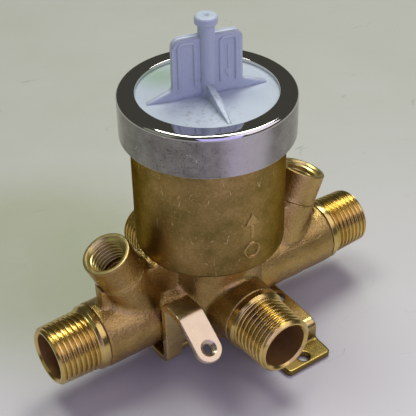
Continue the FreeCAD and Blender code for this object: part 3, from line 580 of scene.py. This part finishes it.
# %% Marks on the cup
MARK_ANGLE, MARK_HEIGHT, MARK_RISE = math.radians(-93), 59.0, 0.5
MARK_ARROW = (0.75, 3.1, -1.8, 3.4, 8.6)        # half shaft, half head, tail, neck and tip
MARK_RING_BELOW, MARK_RING_RADIUS, MARK_RING_HALF = 6.6, 2.7, 0.55


def cup_mark(u, v):
    """An arrow that points up, with a ring below it."""
    ring = np.abs(np.hypot(u, v + MARK_RING_BELOW) - MARK_RING_RADIUS) - MARK_RING_HALF
    return np.minimum(arrow(u, v, *MARK_ARROW), ring)


def on_cup(u, v, height):
    """u runs round the cup's wall and v up it."""
    angle = MARK_ANGLE + u / CUP_RADIUS
    r = CUP_RADIUS + height
    return np.stack(np.broadcast_arrays(r * np.cos(angle), r * np.sin(angle), MARK_HEIGHT + v), -1)


raised_mark("cup_marks", cup_mark, np.linspace(-4.2, 4.2, 57), np.linspace(-10.8, 10, 139), MARK_RISE, on_cup,
            CAST, "body", "cast_brass", ["valve_cup"])

# %% [markdown]
# ## Chromed ring nut
# The nut is brass under bright nickel and chrome. Its flat top is a dark mirror, its rounded edge draws one
# thin bright line, and its side is satin from handling, with pits and scratches where a wrench has slipped.
# The ridges of its thread lie in the grooves of the cup's neck, so they keep clear while it is unscrewed.

# %% Chrome plate
# The mirror is nearly perfect and not quite white, because chrome takes away a third of the light
CHROME, tree, place = material("chrome_plate_polished")
film = node(tree, "TexNoise", {"Vector": place, "Scale": PER_MM / 5, "Detail": 4.0, "Roughness": 0.6})
gloss = node(tree, "MapRange", {"Value": film, **MOSTLY, "To Min": 0.03, "To Max": 0.09})
shader = node(tree, "BsdfPrincipled", {"Base Color": "#cfcdc9", "Metallic": 1.0, "Roughness": gloss})
node(tree, "OutputMaterial", {"Surface": shader})

# %% Worn plate
# The worn side smears what it mirrors upwards and downwards. Scuffs and pits lie where a wrench has slipped,
# and a pale upright strip in front is a painted highlight, where the side would mirror the lit floor
NUT_BORE, NUT_RADIUS, NUT_BOTTOM, NUT_TOP = 25.3, 28.8, 85.1, 99.9
SCUFFED_AT = (-22.0, -17.0, 92.0)
SHEEN_TOWARDS = (-0.173, -0.984)       # the front, 10 degrees to the left
WORN, tree, place = material("chrome_plate_worn")
around = node(tree, "Tangent", direction_type="RADIAL", axis="Z")
cloud = node(tree, "TexNoise", {"Vector": place, "Scale": PER_MM / 8, "Detail": 5.0, "Roughness": 0.7})
specks = node(tree, "TexNoise", {"Vector": place, "Scale": PER_MM / 0.7, "Detail": 2.0, "Roughness": 0.6})
far = node(tree, "VectorMath", {0: place, 1: at(*SCUFFED_AT)}, operation="DISTANCE")
near = node(tree, "MapRange", {"Value": far, "From Min": 4 * MM, "From Max": 20 * MM,
                               "To Min": 0.85, "To Max": 0.1})
pits = node(tree, "MapRange", {"Value": specks, "From Min": 0.34, "From Max": 0.4,
                               "To Min": 1.0, "To Max": 0.0})
pits = node(tree, "Math", {0: pits, 1: near}, operation="MULTIPLY")
patchy = node(tree, "MapRange", {"Value": cloud, "From Min": 0.32, "From Max": 0.68})
plate = node(tree, "Mix", {"Factor": patchy, MIX_A: "#787570", MIX_B: "#9d9a95"}, data_type="RGBA")
outward = (*(v * PER_MM / NUT_RADIUS for v in SHEEN_TOWARDS), 0)
# Painted highlight: the upright strip of the side that faces a little left of the front is paler
facing = node(tree, "VectorMath", {0: place, 1: outward}, operation="DOT_PRODUCT")
rubbed_and_sheen = node(tree, "MapRange", {"Value": facing, "From Min": 0.94, "From Max": 1.0, "To Max": 0.65},
              interpolation_type="SMOOTHSTEP")
marks = scratches(tree, place, (0.3, 0.6, 0.2), (1.0, 0.4, 0.8), 3.0, 0.012, 0.36)
for share, colour in ((rubbed_and_sheen, "#d6d0d6"), (pits, "#4c4942"), (marks, "#dedcd8")):
    plate = node(tree, "Mix", {"Factor": share, MIX_A: plate, MIX_B: colour}, data_type="RGBA")
gloss = node(tree, "MapRange", {"Value": cloud, **MOSTLY, "To Min": 0.22, "To Max": 0.12})
shader = node(tree, "BsdfPrincipled", {"Base Color": plate, "Metallic": 1.0, "Roughness": gloss,
                                       "Tangent": around, "Anisotropic": 0.7, "Anisotropic Rotation": 0.25})
node(tree, "OutputMaterial", {"Surface": shader})

# %% Ring nut
DISC_TOP, NUT_OPENING, NUT_ROUND, NUT_FLARE = 98.5, 22.9, 1.4, 0.5
NUT_FROM, NUT_FULL = 0.4, 1.4           # the thread fades in between these, above the nut's lower edge
NUT_FADE, NUT_END = 4.2, 3.2            # and out between these, below the cap's disc
NUT_ROWS_END = 1.5
section = rounded_section([
    (NUT_BORE + NUT_FLARE, NUT_BOTTOM, 0.15),
    (NUT_RADIUS, NUT_BOTTOM, 0.5),
    (NUT_RADIUS, NUT_TOP, NUT_ROUND),
    (NUT_OPENING, NUT_TOP, 0.3),
    (NUT_OPENING, DISC_TOP, 0.1),
    (NUT_BORE, DISC_TOP, 0.1),
    (NUT_BORE, NUT_BOTTOM + NUT_FLARE, 0.1),
], steps=9)
section = denser(section, NUT_BOTTOM, DISC_TOP - NUT_ROWS_END, NUT_PITCH / CUP_ROWS)
r, h = section[:, :1], section[:, 1:]
bored = np.abs(r - NUT_BORE) < 2 * NEAR_WALL
depth = NUT_THREAD_DEPTH * bored * eased(h, NUT_BOTTOM + NUT_FROM, NUT_BOTTOM + NUT_FULL)
depth = depth * (1 - eased(h, DISC_TOP - NUT_FADE, DISC_TOP - NUT_END))
radius = r - depth * (1 - ridge(h[:, 0], CUP_COLUMNS, NUT_PITCH, NUT_THREAD_DEPTH))
side = ((r > NUT_RADIUS - ON_WALL) & (h < NUT_TOP - NUT_ROUND)).astype(int)[:, 0]
piece("ring_nut", swept(radius, h[:, 0]), [CHROME, WORN], "nut", "chrome_plate", ["bonnet_nut"], finish=side)

# %% [markdown]
# ## Test cap
# A moulded plastic cap closes the cup for a pressure test before the cartridge goes in. A stem with a button
# head and two tall fins give the fingers a hold, and low ribs stiffen the disc. The plastic is pale and lets
# light a little way in, so it is whitest where the ceiling panels fall on it and lavender where only the
# front panel does.

# %% Moulded plastic
# Light goes about 1.5 mm into polypropylene, so its edges glow. Water has left a green bloom on one side of
# the disc, and grit has scuffed the front
BLOOM_AT, GRIT_AT = (-6.0, 18.5, 98.5), (-8.0, -8.5, 98.5)
PLASTIC, tree, place = material("polypropylene_moulded")
cloud = node(tree, "TexNoise", {"Vector": place, "Scale": PER_MM / 12, "Detail": 4.0, "Roughness": 0.6})
grit = node(tree, "TexNoise", {"Vector": place, "Scale": PER_MM / 1.5, "Detail": 4.0, "Roughness": 0.7})
skin = node(tree, "Mix", {"Factor": cloud, MIX_A: "#b4c0ca", MIX_B: "#c3cdd4"}, data_type="RGBA")
far = node(tree, "VectorMath", {0: place, 1: at(*BLOOM_AT)}, operation="DISTANCE")
bloom = node(tree, "MapRange", {"Value": far, "From Min": 2 * MM, "From Max": 11 * MM,
                                "To Min": 0.75, "To Max": 0.0})
skin = node(tree, "Mix", {"Factor": bloom, MIX_A: skin, MIX_B: "#96b094"}, data_type="RGBA")
far = node(tree, "VectorMath", {0: place, 1: at(*GRIT_AT)}, operation="DISTANCE")
near = node(tree, "MapRange", {"Value": far, "From Min": 3 * MM, "From Max": 14 * MM,
                               "To Min": 0.9, "To Max": 0.12})
smears = node(tree, "MapRange", {"Value": grit, "From Min": 0.52, "From Max": 0.68})
smears = node(tree, "Math", {0: smears, 1: near}, operation="MULTIPLY")
skin = node(tree, "Mix", {"Factor": smears, MIX_A: skin, MIX_B: "#8c938f"}, data_type="RGBA")
gloss = node(tree, "MapRange", {"Value": cloud, **MOSTLY, "To Min": 0.32, "To Max": 0.42})
shader = node(tree, "BsdfPrincipled", {
    "Base Color": skin, "Roughness": gloss, "IOR": 1.49, "Subsurface Weight": 0.3,
    "Subsurface Radius": (1.0, 1.0, 1.2), "Subsurface Scale": 1.5 * MM})
node(tree, "OutputMaterial", {"Surface": shader})

# %% Cap disc and plug
FLANGE_RADIUS, PLUG_RADIUS, PLUG_BOTTOM, PLUG_WALL = 24.8, 21.5, 88.9, 4.4
RING_RADIUS, RING_SECTION, RING_HEIGHT = 20.55, 1.2, 92.4
GROOVE_FLOOR, GROOVE_HALF = 19.3, 1.4
DISC_COLUMNS, STEM_COLUMNS = 128, 64
CAP = ([PLASTIC], "cap", "cap_plastic", ["test_cap"])
disc = rounded_section([
    (0, DISC_TOP, 0.0),
    (FLANGE_RADIUS, DISC_TOP, 0.3),
    (FLANGE_RADIUS, CUP_RIM, 0.3),
    (PLUG_RADIUS, CUP_RIM, 0.2),
    (PLUG_RADIUS, RING_HEIGHT + GROOVE_HALF, 0.15),
    (GROOVE_FLOOR, RING_HEIGHT + GROOVE_HALF, 0.15),
    (GROOVE_FLOOR, RING_HEIGHT - GROOVE_HALF, 0.15),
    (PLUG_RADIUS, RING_HEIGHT - GROOVE_HALF, 0.15),
    (PLUG_RADIUS, PLUG_BOTTOM, 0.5),
    (PLUG_RADIUS - PLUG_WALL, PLUG_BOTTOM, 0.3),
    (PLUG_RADIUS - PLUG_WALL, CUP_RIM, 0.6),
    (0, CUP_RIM, 0.0),
])
piece("cap_disc", lathe(disc, DISC_COLUMNS), *CAP)

# %% Cap stem
STEM_RADIUS, STEM_TOP, HEAD_RADIUS, HEAD_HEIGHT, ROOT_DEPTH = 2.65, 125.4, 3.65, 3.4, 1.3
STEM_FLARE, FLARE_HEIGHT, HEAD_SLOPE = 0.9, 0.2, 0.9
DIMPLE_RADIUS, DIMPLE_FLOOR, DIMPLE_DEPTH = 1.1, 0.5, 0.8
stem = rounded_section([
    (0, DISC_TOP - ROOT_DEPTH, 0.0),
    (STEM_RADIUS + STEM_FLARE, DISC_TOP - ROOT_DEPTH, 0.0),
    (STEM_RADIUS + STEM_FLARE, DISC_TOP - NEAR_WALL, 0.0),
    (STEM_RADIUS, DISC_TOP + FLARE_HEIGHT, 0.7),
    (STEM_RADIUS, STEM_TOP - HEAD_HEIGHT, 0.3),
    (HEAD_RADIUS, STEM_TOP - HEAD_HEIGHT + HEAD_SLOPE, 0.5),
    (HEAD_RADIUS, STEM_TOP, 0.9),
    (DIMPLE_RADIUS, STEM_TOP, 0.15),
    (DIMPLE_FLOOR, STEM_TOP - DIMPLE_DEPTH, 0.2),
    (0, STEM_TOP - DIMPLE_DEPTH, 0.0),
])
piece("cap_stem", lathe(stem, STEM_COLUMNS), *CAP)

# %% [markdown]
# The fins and ribs are thin plates that stand on the disc. Each is a ruled surface: the points of its outline
# are joined by straight lines to a foot line below the disc, once on each side, and half an ellipse leads
# over the rim from one side to the other. The mould needs a draft, so the plates thin upwards.

# %% Outlines of the plates
FIN_ANGLE = math.radians(-15.6)
RIB_START, RIB_REACH, FIN_TOP, FIN_LOW, FIN_HIGH = 10.9, 19.8, 20.3, 1.15, 0.9
OUTLINE_STEP, FAR_BELOW, FOOT_LINE = 0.35, -60.0, -1


def open_outline(corners, steps=6):
    """A path through corners (x, z, rounding) from the first to the last, as points OUTLINE_STEP apart. A
    corner far below closes it for the rounding, and what runs down to that corner is then left out."""
    path = rounded_section([*corners, (0.0, FAR_BELOW, 0.0)], steps)
    path = path[::-1] if path[0, 0] > path[steps, 0] else path
    path = path[path[:, 1] > FOOT_LINE]
    along = np.concatenate([[0], np.cumsum(np.linalg.norm(np.diff(path, axis=0), axis=1))])
    even = np.linspace(0, along[-1], round(along[-1] / OUTLINE_STEP))
    return np.stack([np.interp(even, along, path[:, k]) for k in (0, 1)], 1)


def turned_to(turn, x, y, z):
    """Points of a plate that lies along x, turned about the upright axis and lifted on to the disc."""
    c, s = math.cos(turn), math.sin(turn)
    return np.stack([c * x - s * y, s * x + c * y, z + DISC_TOP], -1)


def half_thickness(x, z, low, high, top):
    """Half of a plate's thickness: from low at its foot to high at its top, and half of that at a rib's
    tip."""
    drafted = low + (high - low) * np.clip(z / top, 0, 1)
    return drafted * (1 - 0.5 * eased(np.abs(x), RIB_START, RIB_REACH))

# %% Fins and ribs
FACE_STEPS, RIM_STEPS = 8, 11
FOOT_DRAFT, DRAFT_FROM, RIM_SHARE = 0.1, 3.0, 0.45
RIB_HEIGHT, RIB_HOLLOW, FIN_ROUND, FIN_EDGE = 3.2, 2.0, 2.4, 0.6
CROSS_START, CROSS_HEIGHT, CROSS_ROUND, CROSS_HIGH, CROSS_EDGE = 10.0, 2.7, 8.0, 0.95, 0.4
CROSS_TOP = (0, 4.4, 0.5)


def fin(name, outline, low, high, edge, turn):
    """A plate along an outline of (x, z) points from foot to foot. A face point is foot + (outline - foot) s
    at y = +-half, and the rim is outline + inward edge (1 - sin t) at y = half cos t. The two ends close to
    a point."""
    x, z = outline.T
    run = np.gradient(outline, axis=0)
    run /= np.linalg.norm(run, axis=1, keepdims=True)
    inward = np.stack([run[:, 1], -run[:, 0]], 1)
    foot_x = x * (1 - FOOT_DRAFT * eased(z, DRAFT_FROM, z.max()))
    foot = np.stack([foot_x, np.full_like(x, -ROOT_DEPTH)], 1)
    t = np.linspace(0, math.pi, RIM_STEPS)
    inset = np.minimum(edge, RIM_SHARE * (z + ROOT_DEPTH))[None, :, None]
    rim = outline + inward * inset * (1 - np.sin(t))[:, None, None]
    share = np.arange(FACE_STEPS)[:, None, None] / FACE_STEPS
    face = foot + (rim[0] - foot) * share
    flat = np.concatenate([face, rim, face[::-1]])
    side = np.concatenate([np.ones(FACE_STEPS), np.cos(t), -np.ones(FACE_STEPS)])[:, None]
    y = side * half_thickness(flat[..., 0], flat[..., 1], low, high, z.max())
    grid = turned_to(turn, flat[..., 0], y, flat[..., 1])
    ends = grid[:, [0, -1]].mean(0, keepdims=True).repeat(len(grid), 0)
    grid = np.concatenate([ends[:, :1], grid, ends[:, 1:]], 1).swapaxes(0, 1)[::-1]
    return piece(name, grid, *CAP, rows_closed=False)


tall = open_outline([
    (-RIB_REACH, 0, 0), (-RIB_START, RIB_HEIGHT, RIB_HOLLOW), (-RIB_START, FIN_TOP, FIN_ROUND),
    (RIB_START, FIN_TOP, FIN_ROUND), (RIB_START, RIB_HEIGHT, RIB_HOLLOW), (RIB_REACH, 0, 0)])
fin("cap_fins", tall, FIN_LOW, FIN_HIGH, FIN_EDGE, FIN_ANGLE)
short = open_outline([
    (-RIB_REACH, 0, 0), (-CROSS_START, CROSS_HEIGHT, CROSS_ROUND), CROSS_TOP,
    (CROSS_START, CROSS_HEIGHT, CROSS_ROUND), (RIB_REACH, 0, 0)])
fin("cap_cross_ribs", short, FIN_LOW, CROSS_HIGH, CROSS_EDGE, FIN_ANGLE + math.pi / 2)

# %% Borders on the fins
# A raised border runs along three sides of each fin's face, like half a round wire laid on it
BORDER_INSET, BORDER_RADIUS, BORDER_FOOT, BORDER_INNER, BORDER_ROUND = 1.5, 0.48, 3.6, 4.2, 1.2
WIRE_COLUMNS = 12


def border(name, x_from, x_to, side):
    """A round wire along a three-sided path in a fin's face: up from near the foot, across and down again.
    Each point is path + radius (cos a across + sin a outward), and the radius closes to nothing at both
    ends."""
    top = FIN_TOP - BORDER_INSET
    path = open_outline([(x_from, BORDER_FOOT, 0), (x_from, top, BORDER_ROUND), (x_to, top, BORDER_ROUND),
                         (x_to, BORDER_FOOT, 0)])[:, None]
    run = np.gradient(path[:, 0], axis=0)[:, None]
    run /= np.linalg.norm(run, axis=2, keepdims=True)
    a = np.linspace(0, 2 * math.pi, WIRE_COLUMNS, endpoint=False)[None, :]
    thin = np.ones((len(path), 1))
    thin[[0, -1]] = 0
    x = path[..., 0] + BORDER_RADIUS * thin * np.cos(a) * run[..., 1]
    z = path[..., 1] - BORDER_RADIUS * thin * np.cos(a) * run[..., 0]
    y = side * half_thickness(x, z, FIN_LOW, FIN_HIGH, FIN_TOP) + BORDER_RADIUS * thin * np.sin(a)
    return piece(name, turned_to(FIN_ANGLE, x, y, z), *CAP, rows_closed=False)


for side, face in ((-1, "front"), (1, "rear")):
    border("cap_border_right_" + face, BORDER_INNER, RIB_START - BORDER_INSET, side)
    border("cap_border_left_" + face, BORDER_INSET - RIB_START, -BORDER_INNER, side)

# %% Arrow on the right fin
CAP_ARROW, CAP_ARROW_RISE = (0.5, 1.5, 6.0, -2.6, -6.0), 0.3
ARROW_ALONG, ARROW_UP = 6.8, 10.4


def cap_mark(u, v):
    """An arrow that points down to the disc."""
    return arrow(u, v, *CAP_ARROW)


def on_fin(u, v, height):
    """u runs along the right fin and v up it."""
    x, z = np.broadcast_arrays(ARROW_ALONG + u, ARROW_UP + v)
    return turned_to(FIN_ANGLE, x, -half_thickness(x, z, FIN_LOW, FIN_HIGH, FIN_TOP) - height, z)


raised_mark("cap_arrow", cap_mark, np.linspace(-2.0, 2.0, 31), np.linspace(-7, 7, 99), CAP_ARROW_RISE, on_fin,
            PLASTIC, "cap", "cap_plastic", ["test_cap"])

# %% [markdown]
# ## Seal
# A black rubber ring seals the plug in the cup's bore: a circle swept round the axis.

# %% Seal
# Moulded rubber is nearly black with a dusty bloom
SEAL_STEPS = 24
RUBBER, tree, place = material("nitrile_rubber_moulded")
dust = node(tree, "TexNoise", {"Vector": place, "Scale": PER_MM / 2, "Detail": 3.0})
skin = node(tree, "Mix", {"Factor": dust, MIX_A: "#161617", MIX_B: "#2c2c2d"}, data_type="RGBA")
shader = node(tree, "BsdfPrincipled", {"Base Color": skin, "Roughness": 0.5})
node(tree, "OutputMaterial", {"Surface": shader})
angle = np.linspace(0, 2 * math.pi, SEAL_STEPS, endpoint=False)
ring = np.stack([RING_RADIUS + RING_SECTION * np.cos(angle), RING_HEIGHT + RING_SECTION * np.sin(angle)], 1)
piece("cap_seal", lathe(ring, DISC_COLUMNS), [RUBBER], "cap", "seal_rubber", ["cap_o_ring"])

# %% [markdown]
# ## Casting
# The hub, the arms and the bosses left the sand mould as one piece, so no edge on them is sharp and no face
# is quite true. A copy of the CAD solid is merged and rebuilt on a fine grid of cells, which rounds every
# edge by about half a millimetre, and each point is then pushed along its normal by smooth seeded noise.

# %% Rebuilding
COPY_STEP = 1e-7            # metres; points of a copy that round to the same step are one point


def merged_copy(names):
    """One mesh of copies of CAD nodes, with the points of their loose triangles merged."""
    points, faces, count = [], [], 0
    for name in names:
        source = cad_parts[name].data
        co = np.empty(len(source.vertices) * 3, np.float32)
        source.vertices.foreach_get("co", co)
        corner = np.empty(len(source.polygons) * 3, np.int32)
        source.polygons.foreach_get("vertices", corner)
        key = (co.reshape(-1, 3) * (1 / COPY_STEP)).round().astype(np.int64)
        key, same = np.unique(key, axis=0, return_inverse=True)
        points.append(key * COPY_STEP)
        faces.append(same.reshape(-1)[corner].reshape(-1, 3) + count)
        count += len(key)
    tri = np.concatenate(faces)
    tri = tri[(tri != np.roll(tri, 1, 1)).all(1)]
    mesh = bpy.data.meshes.new("copy")
    mesh.from_pydata(np.concatenate(points).tolist(), [], tri.tolist())
    return mesh


def rebuilt(mesh, cell, smoothing):
    """The mesh rebuilt as a closed skin on a grid of cells and relaxed a few times, its edges rounding."""
    holder = bpy.data.objects.new("holder", mesh)
    bpy.context.scene.collection.objects.link(holder)
    remesh = holder.modifiers.new("skin", "REMESH")
    remesh.mode, remesh.voxel_size = "VOXEL", cell * MM
    relax = holder.modifiers.new("relax", "SMOOTH")
    relax.factor, relax.iterations = 0.5, smoothing
    made = bpy.data.meshes.new_from_object(holder.evaluated_get(bpy.context.evaluated_depsgraph_get()))
    bpy.data.objects.remove(holder)
    return made


def lattice_noise(points, cell, seed):
    """Smooth noise from -1 to 1: seeded random values on a lattice of cells, blended by an eased fraction
    along each axis. Points are in mm."""
    size = 64
    table = np.random.default_rng(seed).uniform(-1, 1, (size, size, size))
    scaled = points / cell
    base = np.floor(scaled).astype(int)
    f = eased(scaled - base, 0, 1)
    value = 0
    for corner in np.ndindex(2, 2, 2):
        lattice = (base + corner) % size
        share = np.prod(np.where(corner, f, 1 - f), axis=1)
        value = value + share * table[lattice[:, 0], lattice[:, 1], lattice[:, 2]]
    return value

# %% Casting
CAST_CELL, CAST_SMOOTHING = 0.55, 5
CAST_SKIN = ((0.08, 6.0, 1), (0.05, 2.4, 2), (0.03, 1.1, 3))     # rise, cell and seed of each noise
CAST_SHRINK = 0.1                       # the skin's middle lies this far inside the solid's faces
RIM_LOWER, RIM_INSIDE, RIM_OUTSIDE = 0.5, 2, 0.1        # the rim, from the cup's base, hub and outside
RIM_ROOM = 0.4

mesh = rebuilt(merged_copy(["valve_hub"]), CAST_CELL, CAST_SMOOTHING)
co = np.empty(len(mesh.vertices) * 3, np.float32)
normal = np.empty_like(co)
mesh.vertices.foreach_get("co", co)
mesh.vertex_normals.foreach_get("vector", normal)
co, normal = co.reshape(-1, 3) / MM, normal.reshape(-1, 3)
skin = sum(rise * lattice_noise(co, cell, seed) for rise, cell, seed in CAST_SKIN)
co = co + normal * (skin - CAST_SHRINK)[:, None]
# The cup's wall goes round the casting's base disc, so the disc's rim is drawn in to leave it room
across = np.hypot(co[:, 0], co[:, 1])
rim = (across > HUB_RADIUS + RIM_INSIDE) & (across < CUP_RADIUS + RIM_OUTSIDE)
rim &= co[:, 2] > CUP_BASE - RIM_LOWER
co[:, :2] *= np.where(rim, np.minimum(1, (BORE_RADIUS - RIM_ROOM) / across), 1)[:, None]
co[:, 2] = np.where(rim, np.clip(co[:, 2], CUP_BASE + RIM_ROOM, CUP_FLOOR_TOP), co[:, 2])
mesh.vertices.foreach_set("co", (co * MM).astype(np.float32).ravel())
mesh.update()
add_piece("hub_casting", mesh, [CAST], "body", ["valve_hub"])

# %% [markdown]
# ## Bracket
# The bracket is punched and folded from steel sheet and plated with zinc under a yellow passivate, which
# gives a gold that shifts to pink. Punching leaves the edges slightly rounded, so a copy of the plate and its
# two straps is rebuilt on a finer grid, which also joins them into one sheet.

# %% Yellow zinc
# The passivate film is thin and uneven, so its gold drifts from straw to rose every centimetre or two. Low
# parts such as the feet are painted darker, a painted shade, and the tongues are painted paler, a painted
# highlight
ZINC, tree, place = material("zinc_plated_steel_yellow_passivate")
axes = node(tree, "SeparateXYZ", {0: place})
drift = node(tree, "TexNoise", {"Vector": place, "Scale": PER_MM / 14, "Detail": 2.0})
handled = node(tree, "TexNoise", {"Vector": place, "Scale": PER_MM / 4, "Detail": 3.0, "Roughness": 0.6})
film = node(tree, "Mix", {"Factor": drift, MIX_A: "#bfa65e", MIX_B: "#d2bc88"}, data_type="RGBA")
# Painted shade: the sheet is darker towards the bottom, as on the feet
low = node(tree, "MapRange", {"Value": axes.outputs["Z"], "From Min": 3 * MM, "From Max": 9 * MM,
                              "To Min": 0.9, "To Max": 0.0})
# Painted highlight: the raised outer parts, the tongues, are paler
apart = node(tree, "Math", {0: axes.outputs["Y"]}, operation="ABSOLUTE")
outer = node(tree, "MapRange", {"Value": apart, "From Min": 20 * MM, "From Max": 23 * MM, "To Max": 0.8})
raised = node(tree, "MapRange", {"Value": axes.outputs["Z"], "From Min": 14 * MM, "From Max": 18 * MM})
painted_tongue_highlight = node(tree, "Math", {0: outer, 1: raised}, operation="MULTIPLY")
marks = scratches(tree, place, (0.2, 0.7, 0.4), (1.0, 0.3, 1.0), 3.0, 0.012, 0.36)
for share, colour in ((low, "#7a6833"), (painted_tongue_highlight, "#d6c6aa"), (marks, "#f0e6c8")):
    film = node(tree, "Mix", {"Factor": share, MIX_A: film, MIX_B: colour}, data_type="RGBA")
gloss = node(tree, "MapRange", {"Value": handled, **MOSTLY, "To Min": 0.32, "To Max": 0.24})
shader = node(tree, "BsdfPrincipled", {"Base Color": film, "Metallic": 1.0, "Roughness": gloss})
node(tree, "OutputMaterial", {"Surface": shader})

# %% Bracket plate and straps
BASE_NODES = ["bracket_plate", "front_strap", "rear_strap"]
SHEET_CELL, SHEET_SMOOTHING = 0.3, 4
base = rebuilt(merged_copy(BASE_NODES), SHEET_CELL, SHEET_SMOOTHING)
add_piece("bracket_base", base, [ZINC], "body", BASE_NODES)

# %% [markdown]
# A tab is one strip of the same sheet: up from the plate, over a shelf and down the slope of its tongue. So
# it is a profile along a path: a rectangle with rounded edges follows the sheet's middle line through its
# three bends.

# %% Folded tabs
SHEET, EDGE_ROUND, BEND_INSIDE, TONGUE_BEND = 2.3, 0.35, 1.0, 2.0
TAB_SIDE, TAB_WIDTH, TAB_ROOT, ROOT_OVERLAP = 28.6, 9.6, 10.8, 0.8
PLATE_MIDDLE, WALL_MIDDLE, SHELF_MIDDLE, BEND_AT = 8.55, 12.95, 33.35, 21.41
TONGUE_SLOPE, TONGUE_REACH = math.radians(37.4), 12.6
NOTCH_RADIUS, NOTCH_HEIGHT, NOTCH_ASIDE = 4.9, 11.25, 1.4
JOIN_OVERLAP, JOIN_INSET = 3.0, 0.005
BEND_STEPS = 14

half = SHEET / 2
flat_from = (TONGUE_BEND + half) * math.tan(TONGUE_SLOPE / 2)
down = np.array([math.cos(TONGUE_SLOPE), -math.sin(TONGUE_SLOPE)])
crest = np.array([BEND_AT, SHELF_MIDDLE])
middle = open_outline([
    (TAB_ROOT - ROOT_OVERLAP, PLATE_MIDDLE, 0),
    (WALL_MIDDLE, PLATE_MIDDLE, BEND_INSIDE + half),
    (WALL_MIDDLE, SHELF_MIDDLE, BEND_INSIDE + half),
    (BEND_AT, SHELF_MIDDLE, TONGUE_BEND + half),
    (*(crest + down * (flat_from + JOIN_OVERLAP)), 0),
], BEND_STEPS)
middle = middle if middle[0, 0] < middle[-1, 0] else middle[::-1]
run = np.gradient(middle, axis=0)
run /= np.linalg.norm(run, axis=1, keepdims=True)
sheet_normal = np.stack([-run[:, 1], run[:, 0]], 1)
p, q = rounded_section([(0, -half, EDGE_ROUND), (TAB_WIDTH, -half, EDGE_ROUND), (TAB_WIDTH, half, EDGE_ROUND),
                        (0, half, EDGE_ROUND)]).T
# A round relief is punched out of the wall's inner edge at its root
notch = np.sqrt(np.clip(NOTCH_RADIUS ** 2 - (middle[:, 1] - NOTCH_HEIGHT) ** 2, 0, None)) - NOTCH_ASIDE
across = p - np.where(p > TAB_WIDTH / 2, np.clip(notch, 0, None)[:, None], 0)
# Under the tongue the strip runs on, a hair thinner, so that no gap shows where the two meet
inset = JOIN_INSET * (((middle - crest) @ down) > flat_from)[:, None]
across = inset + across * (1 - 2 * inset / TAB_WIDTH)
sheet = middle[:, None] + (q * (1 - inset / half))[..., None] * sheet_normal[:, None]
grid = np.stack([across - TAB_SIDE, -sheet[..., 0], sheet[..., 1]], -1)
ends = grid[[0, -1]].mean(1, keepdims=True).repeat(grid.shape[1], 1)
grid = np.concatenate([ends[:1], grid, ends[1:]])
for name, turn in (("front_tab", 1), ("rear_tab", HALF_TURN)):
    piece(name + "_folded", grid * turn, [ZINC], "body", "plated_steel", [name], rows_closed=False)

# %% [markdown]
# The tongue's end is round and has a countersunk hole. Seen from the hole it is a turned piece whose outer
# radius changes with the angle: constant round the end, then out to the two straight sides and back to the
# bend.

# %% Tongues
HOLE_RADIUS, HOLE_SINK_RADIUS, HOLE_SINK_DEPTH = 1.7, 2.8, 0.9
GUARDS = (1.5, 0.4)         # rows this far inside the edge keep the flat faces flat in the shading
GUARD_PULL = 0.25           # share of its distance from the edge that a guard row keeps from the bend
SINK_MARGIN = 0.3           # rows within this of the sunk hole stay round
TONGUE_COLUMNS, ARC_STEPS = 160, 5
TINY = 1e-6                 # keeps a division from meeting zero

end_radius = TAB_WIDTH / 2
section = rounded_section([
    (HOLE_RADIUS, -half, 0.15),
    (end_radius, -half, EDGE_ROUND),
    (end_radius, half, EDGE_ROUND),
    (HOLE_SINK_RADIUS, half, 0.12),
    (HOLE_RADIUS, half - HOLE_SINK_DEPTH, 0.12),
], ARC_STEPS)
under = [(end_radius - g, -half) for g in GUARDS]
upper = [(end_radius - g, half) for g in GUARDS[::-1]]
hole_edge, outer_edges, sunk_edges = np.split(section, [ARC_STEPS, 3 * ARC_STEPS])
section = np.concatenate([hole_edge, under, outer_edges, upper, sunk_edges])
r, h = section[:, :1], section[:, 1:]
straight = TONGUE_REACH - flat_from
corner = math.atan2(end_radius, straight)
angle = np.linspace(0, 2 * math.pi, TONGUE_COLUMNS, endpoint=False)
angle = np.sort(np.append(angle, [math.pi - corner, math.pi + corner]))[None, :]
sides = r / np.where(np.cos(angle) < 0, np.clip(np.abs(np.sin(angle)), TINY, None), 1)
bend_line = straight - GUARD_PULL * np.clip(end_radius - r - EDGE_ROUND, 0, None)
wide = np.minimum(sides, bend_line / np.clip(-np.cos(angle), TINY, None))
radius = np.where(r > HOLE_SINK_RADIUS + SINK_MARGIN, wide, r)[..., None]
along, beside = np.array([0, -down[0], down[1]]), np.array([1.0, 0, 0])
hole = crest + down * TONGUE_REACH
spokes = np.cos(angle)[..., None] * along + np.sin(angle)[..., None] * beside
grid = radius * spokes + h[..., None] * np.cross(along, beside)
grid = np.array([end_radius - TAB_SIDE, -hole[0], hole[1]]) + grid
for name, turn in (("front_tongue", 1), ("rear_tongue", HALF_TURN)):
    piece(name + "_countersunk", grid * turn, [ZINC], "body", "plated_steel", [name])

# %% [markdown]
# ## Screws
# Two screws hold the bracket to the hub, out of sight under the plate. Their shape in the CAD model is right,
# so they only get a finish. Their zinc has no yellow film, so they are plain grey.

# %% Screws
# Bare zinc is matt in spots, which gives the grey a fine mottle
SCREW, tree, place = material("zinc_plated_screw_steel")
cloud = node(tree, "TexNoise", {"Vector": place, "Scale": PER_MM / 1.4, "Detail": 3.0})
plate = node(tree, "Mix", {"Factor": cloud, MIX_A: "#a9a69d", MIX_B: "#c4c2ba"}, data_type="RGBA")
gloss = node(tree, "MapRange", {"Value": cloud, **MOSTLY, "To Min": 0.25, "To Max": 0.5})
shader = node(tree, "BsdfPrincipled", {"Base Color": plate, "Metallic": 1.0, "Roughness": gloss})
node(tree, "OutputMaterial", {"Surface": shader})
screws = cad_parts["bracket_screws"]
screws.data.materials.clear()
screws.data.materials.append(SCREW)
print("screws in", SCREW.name)
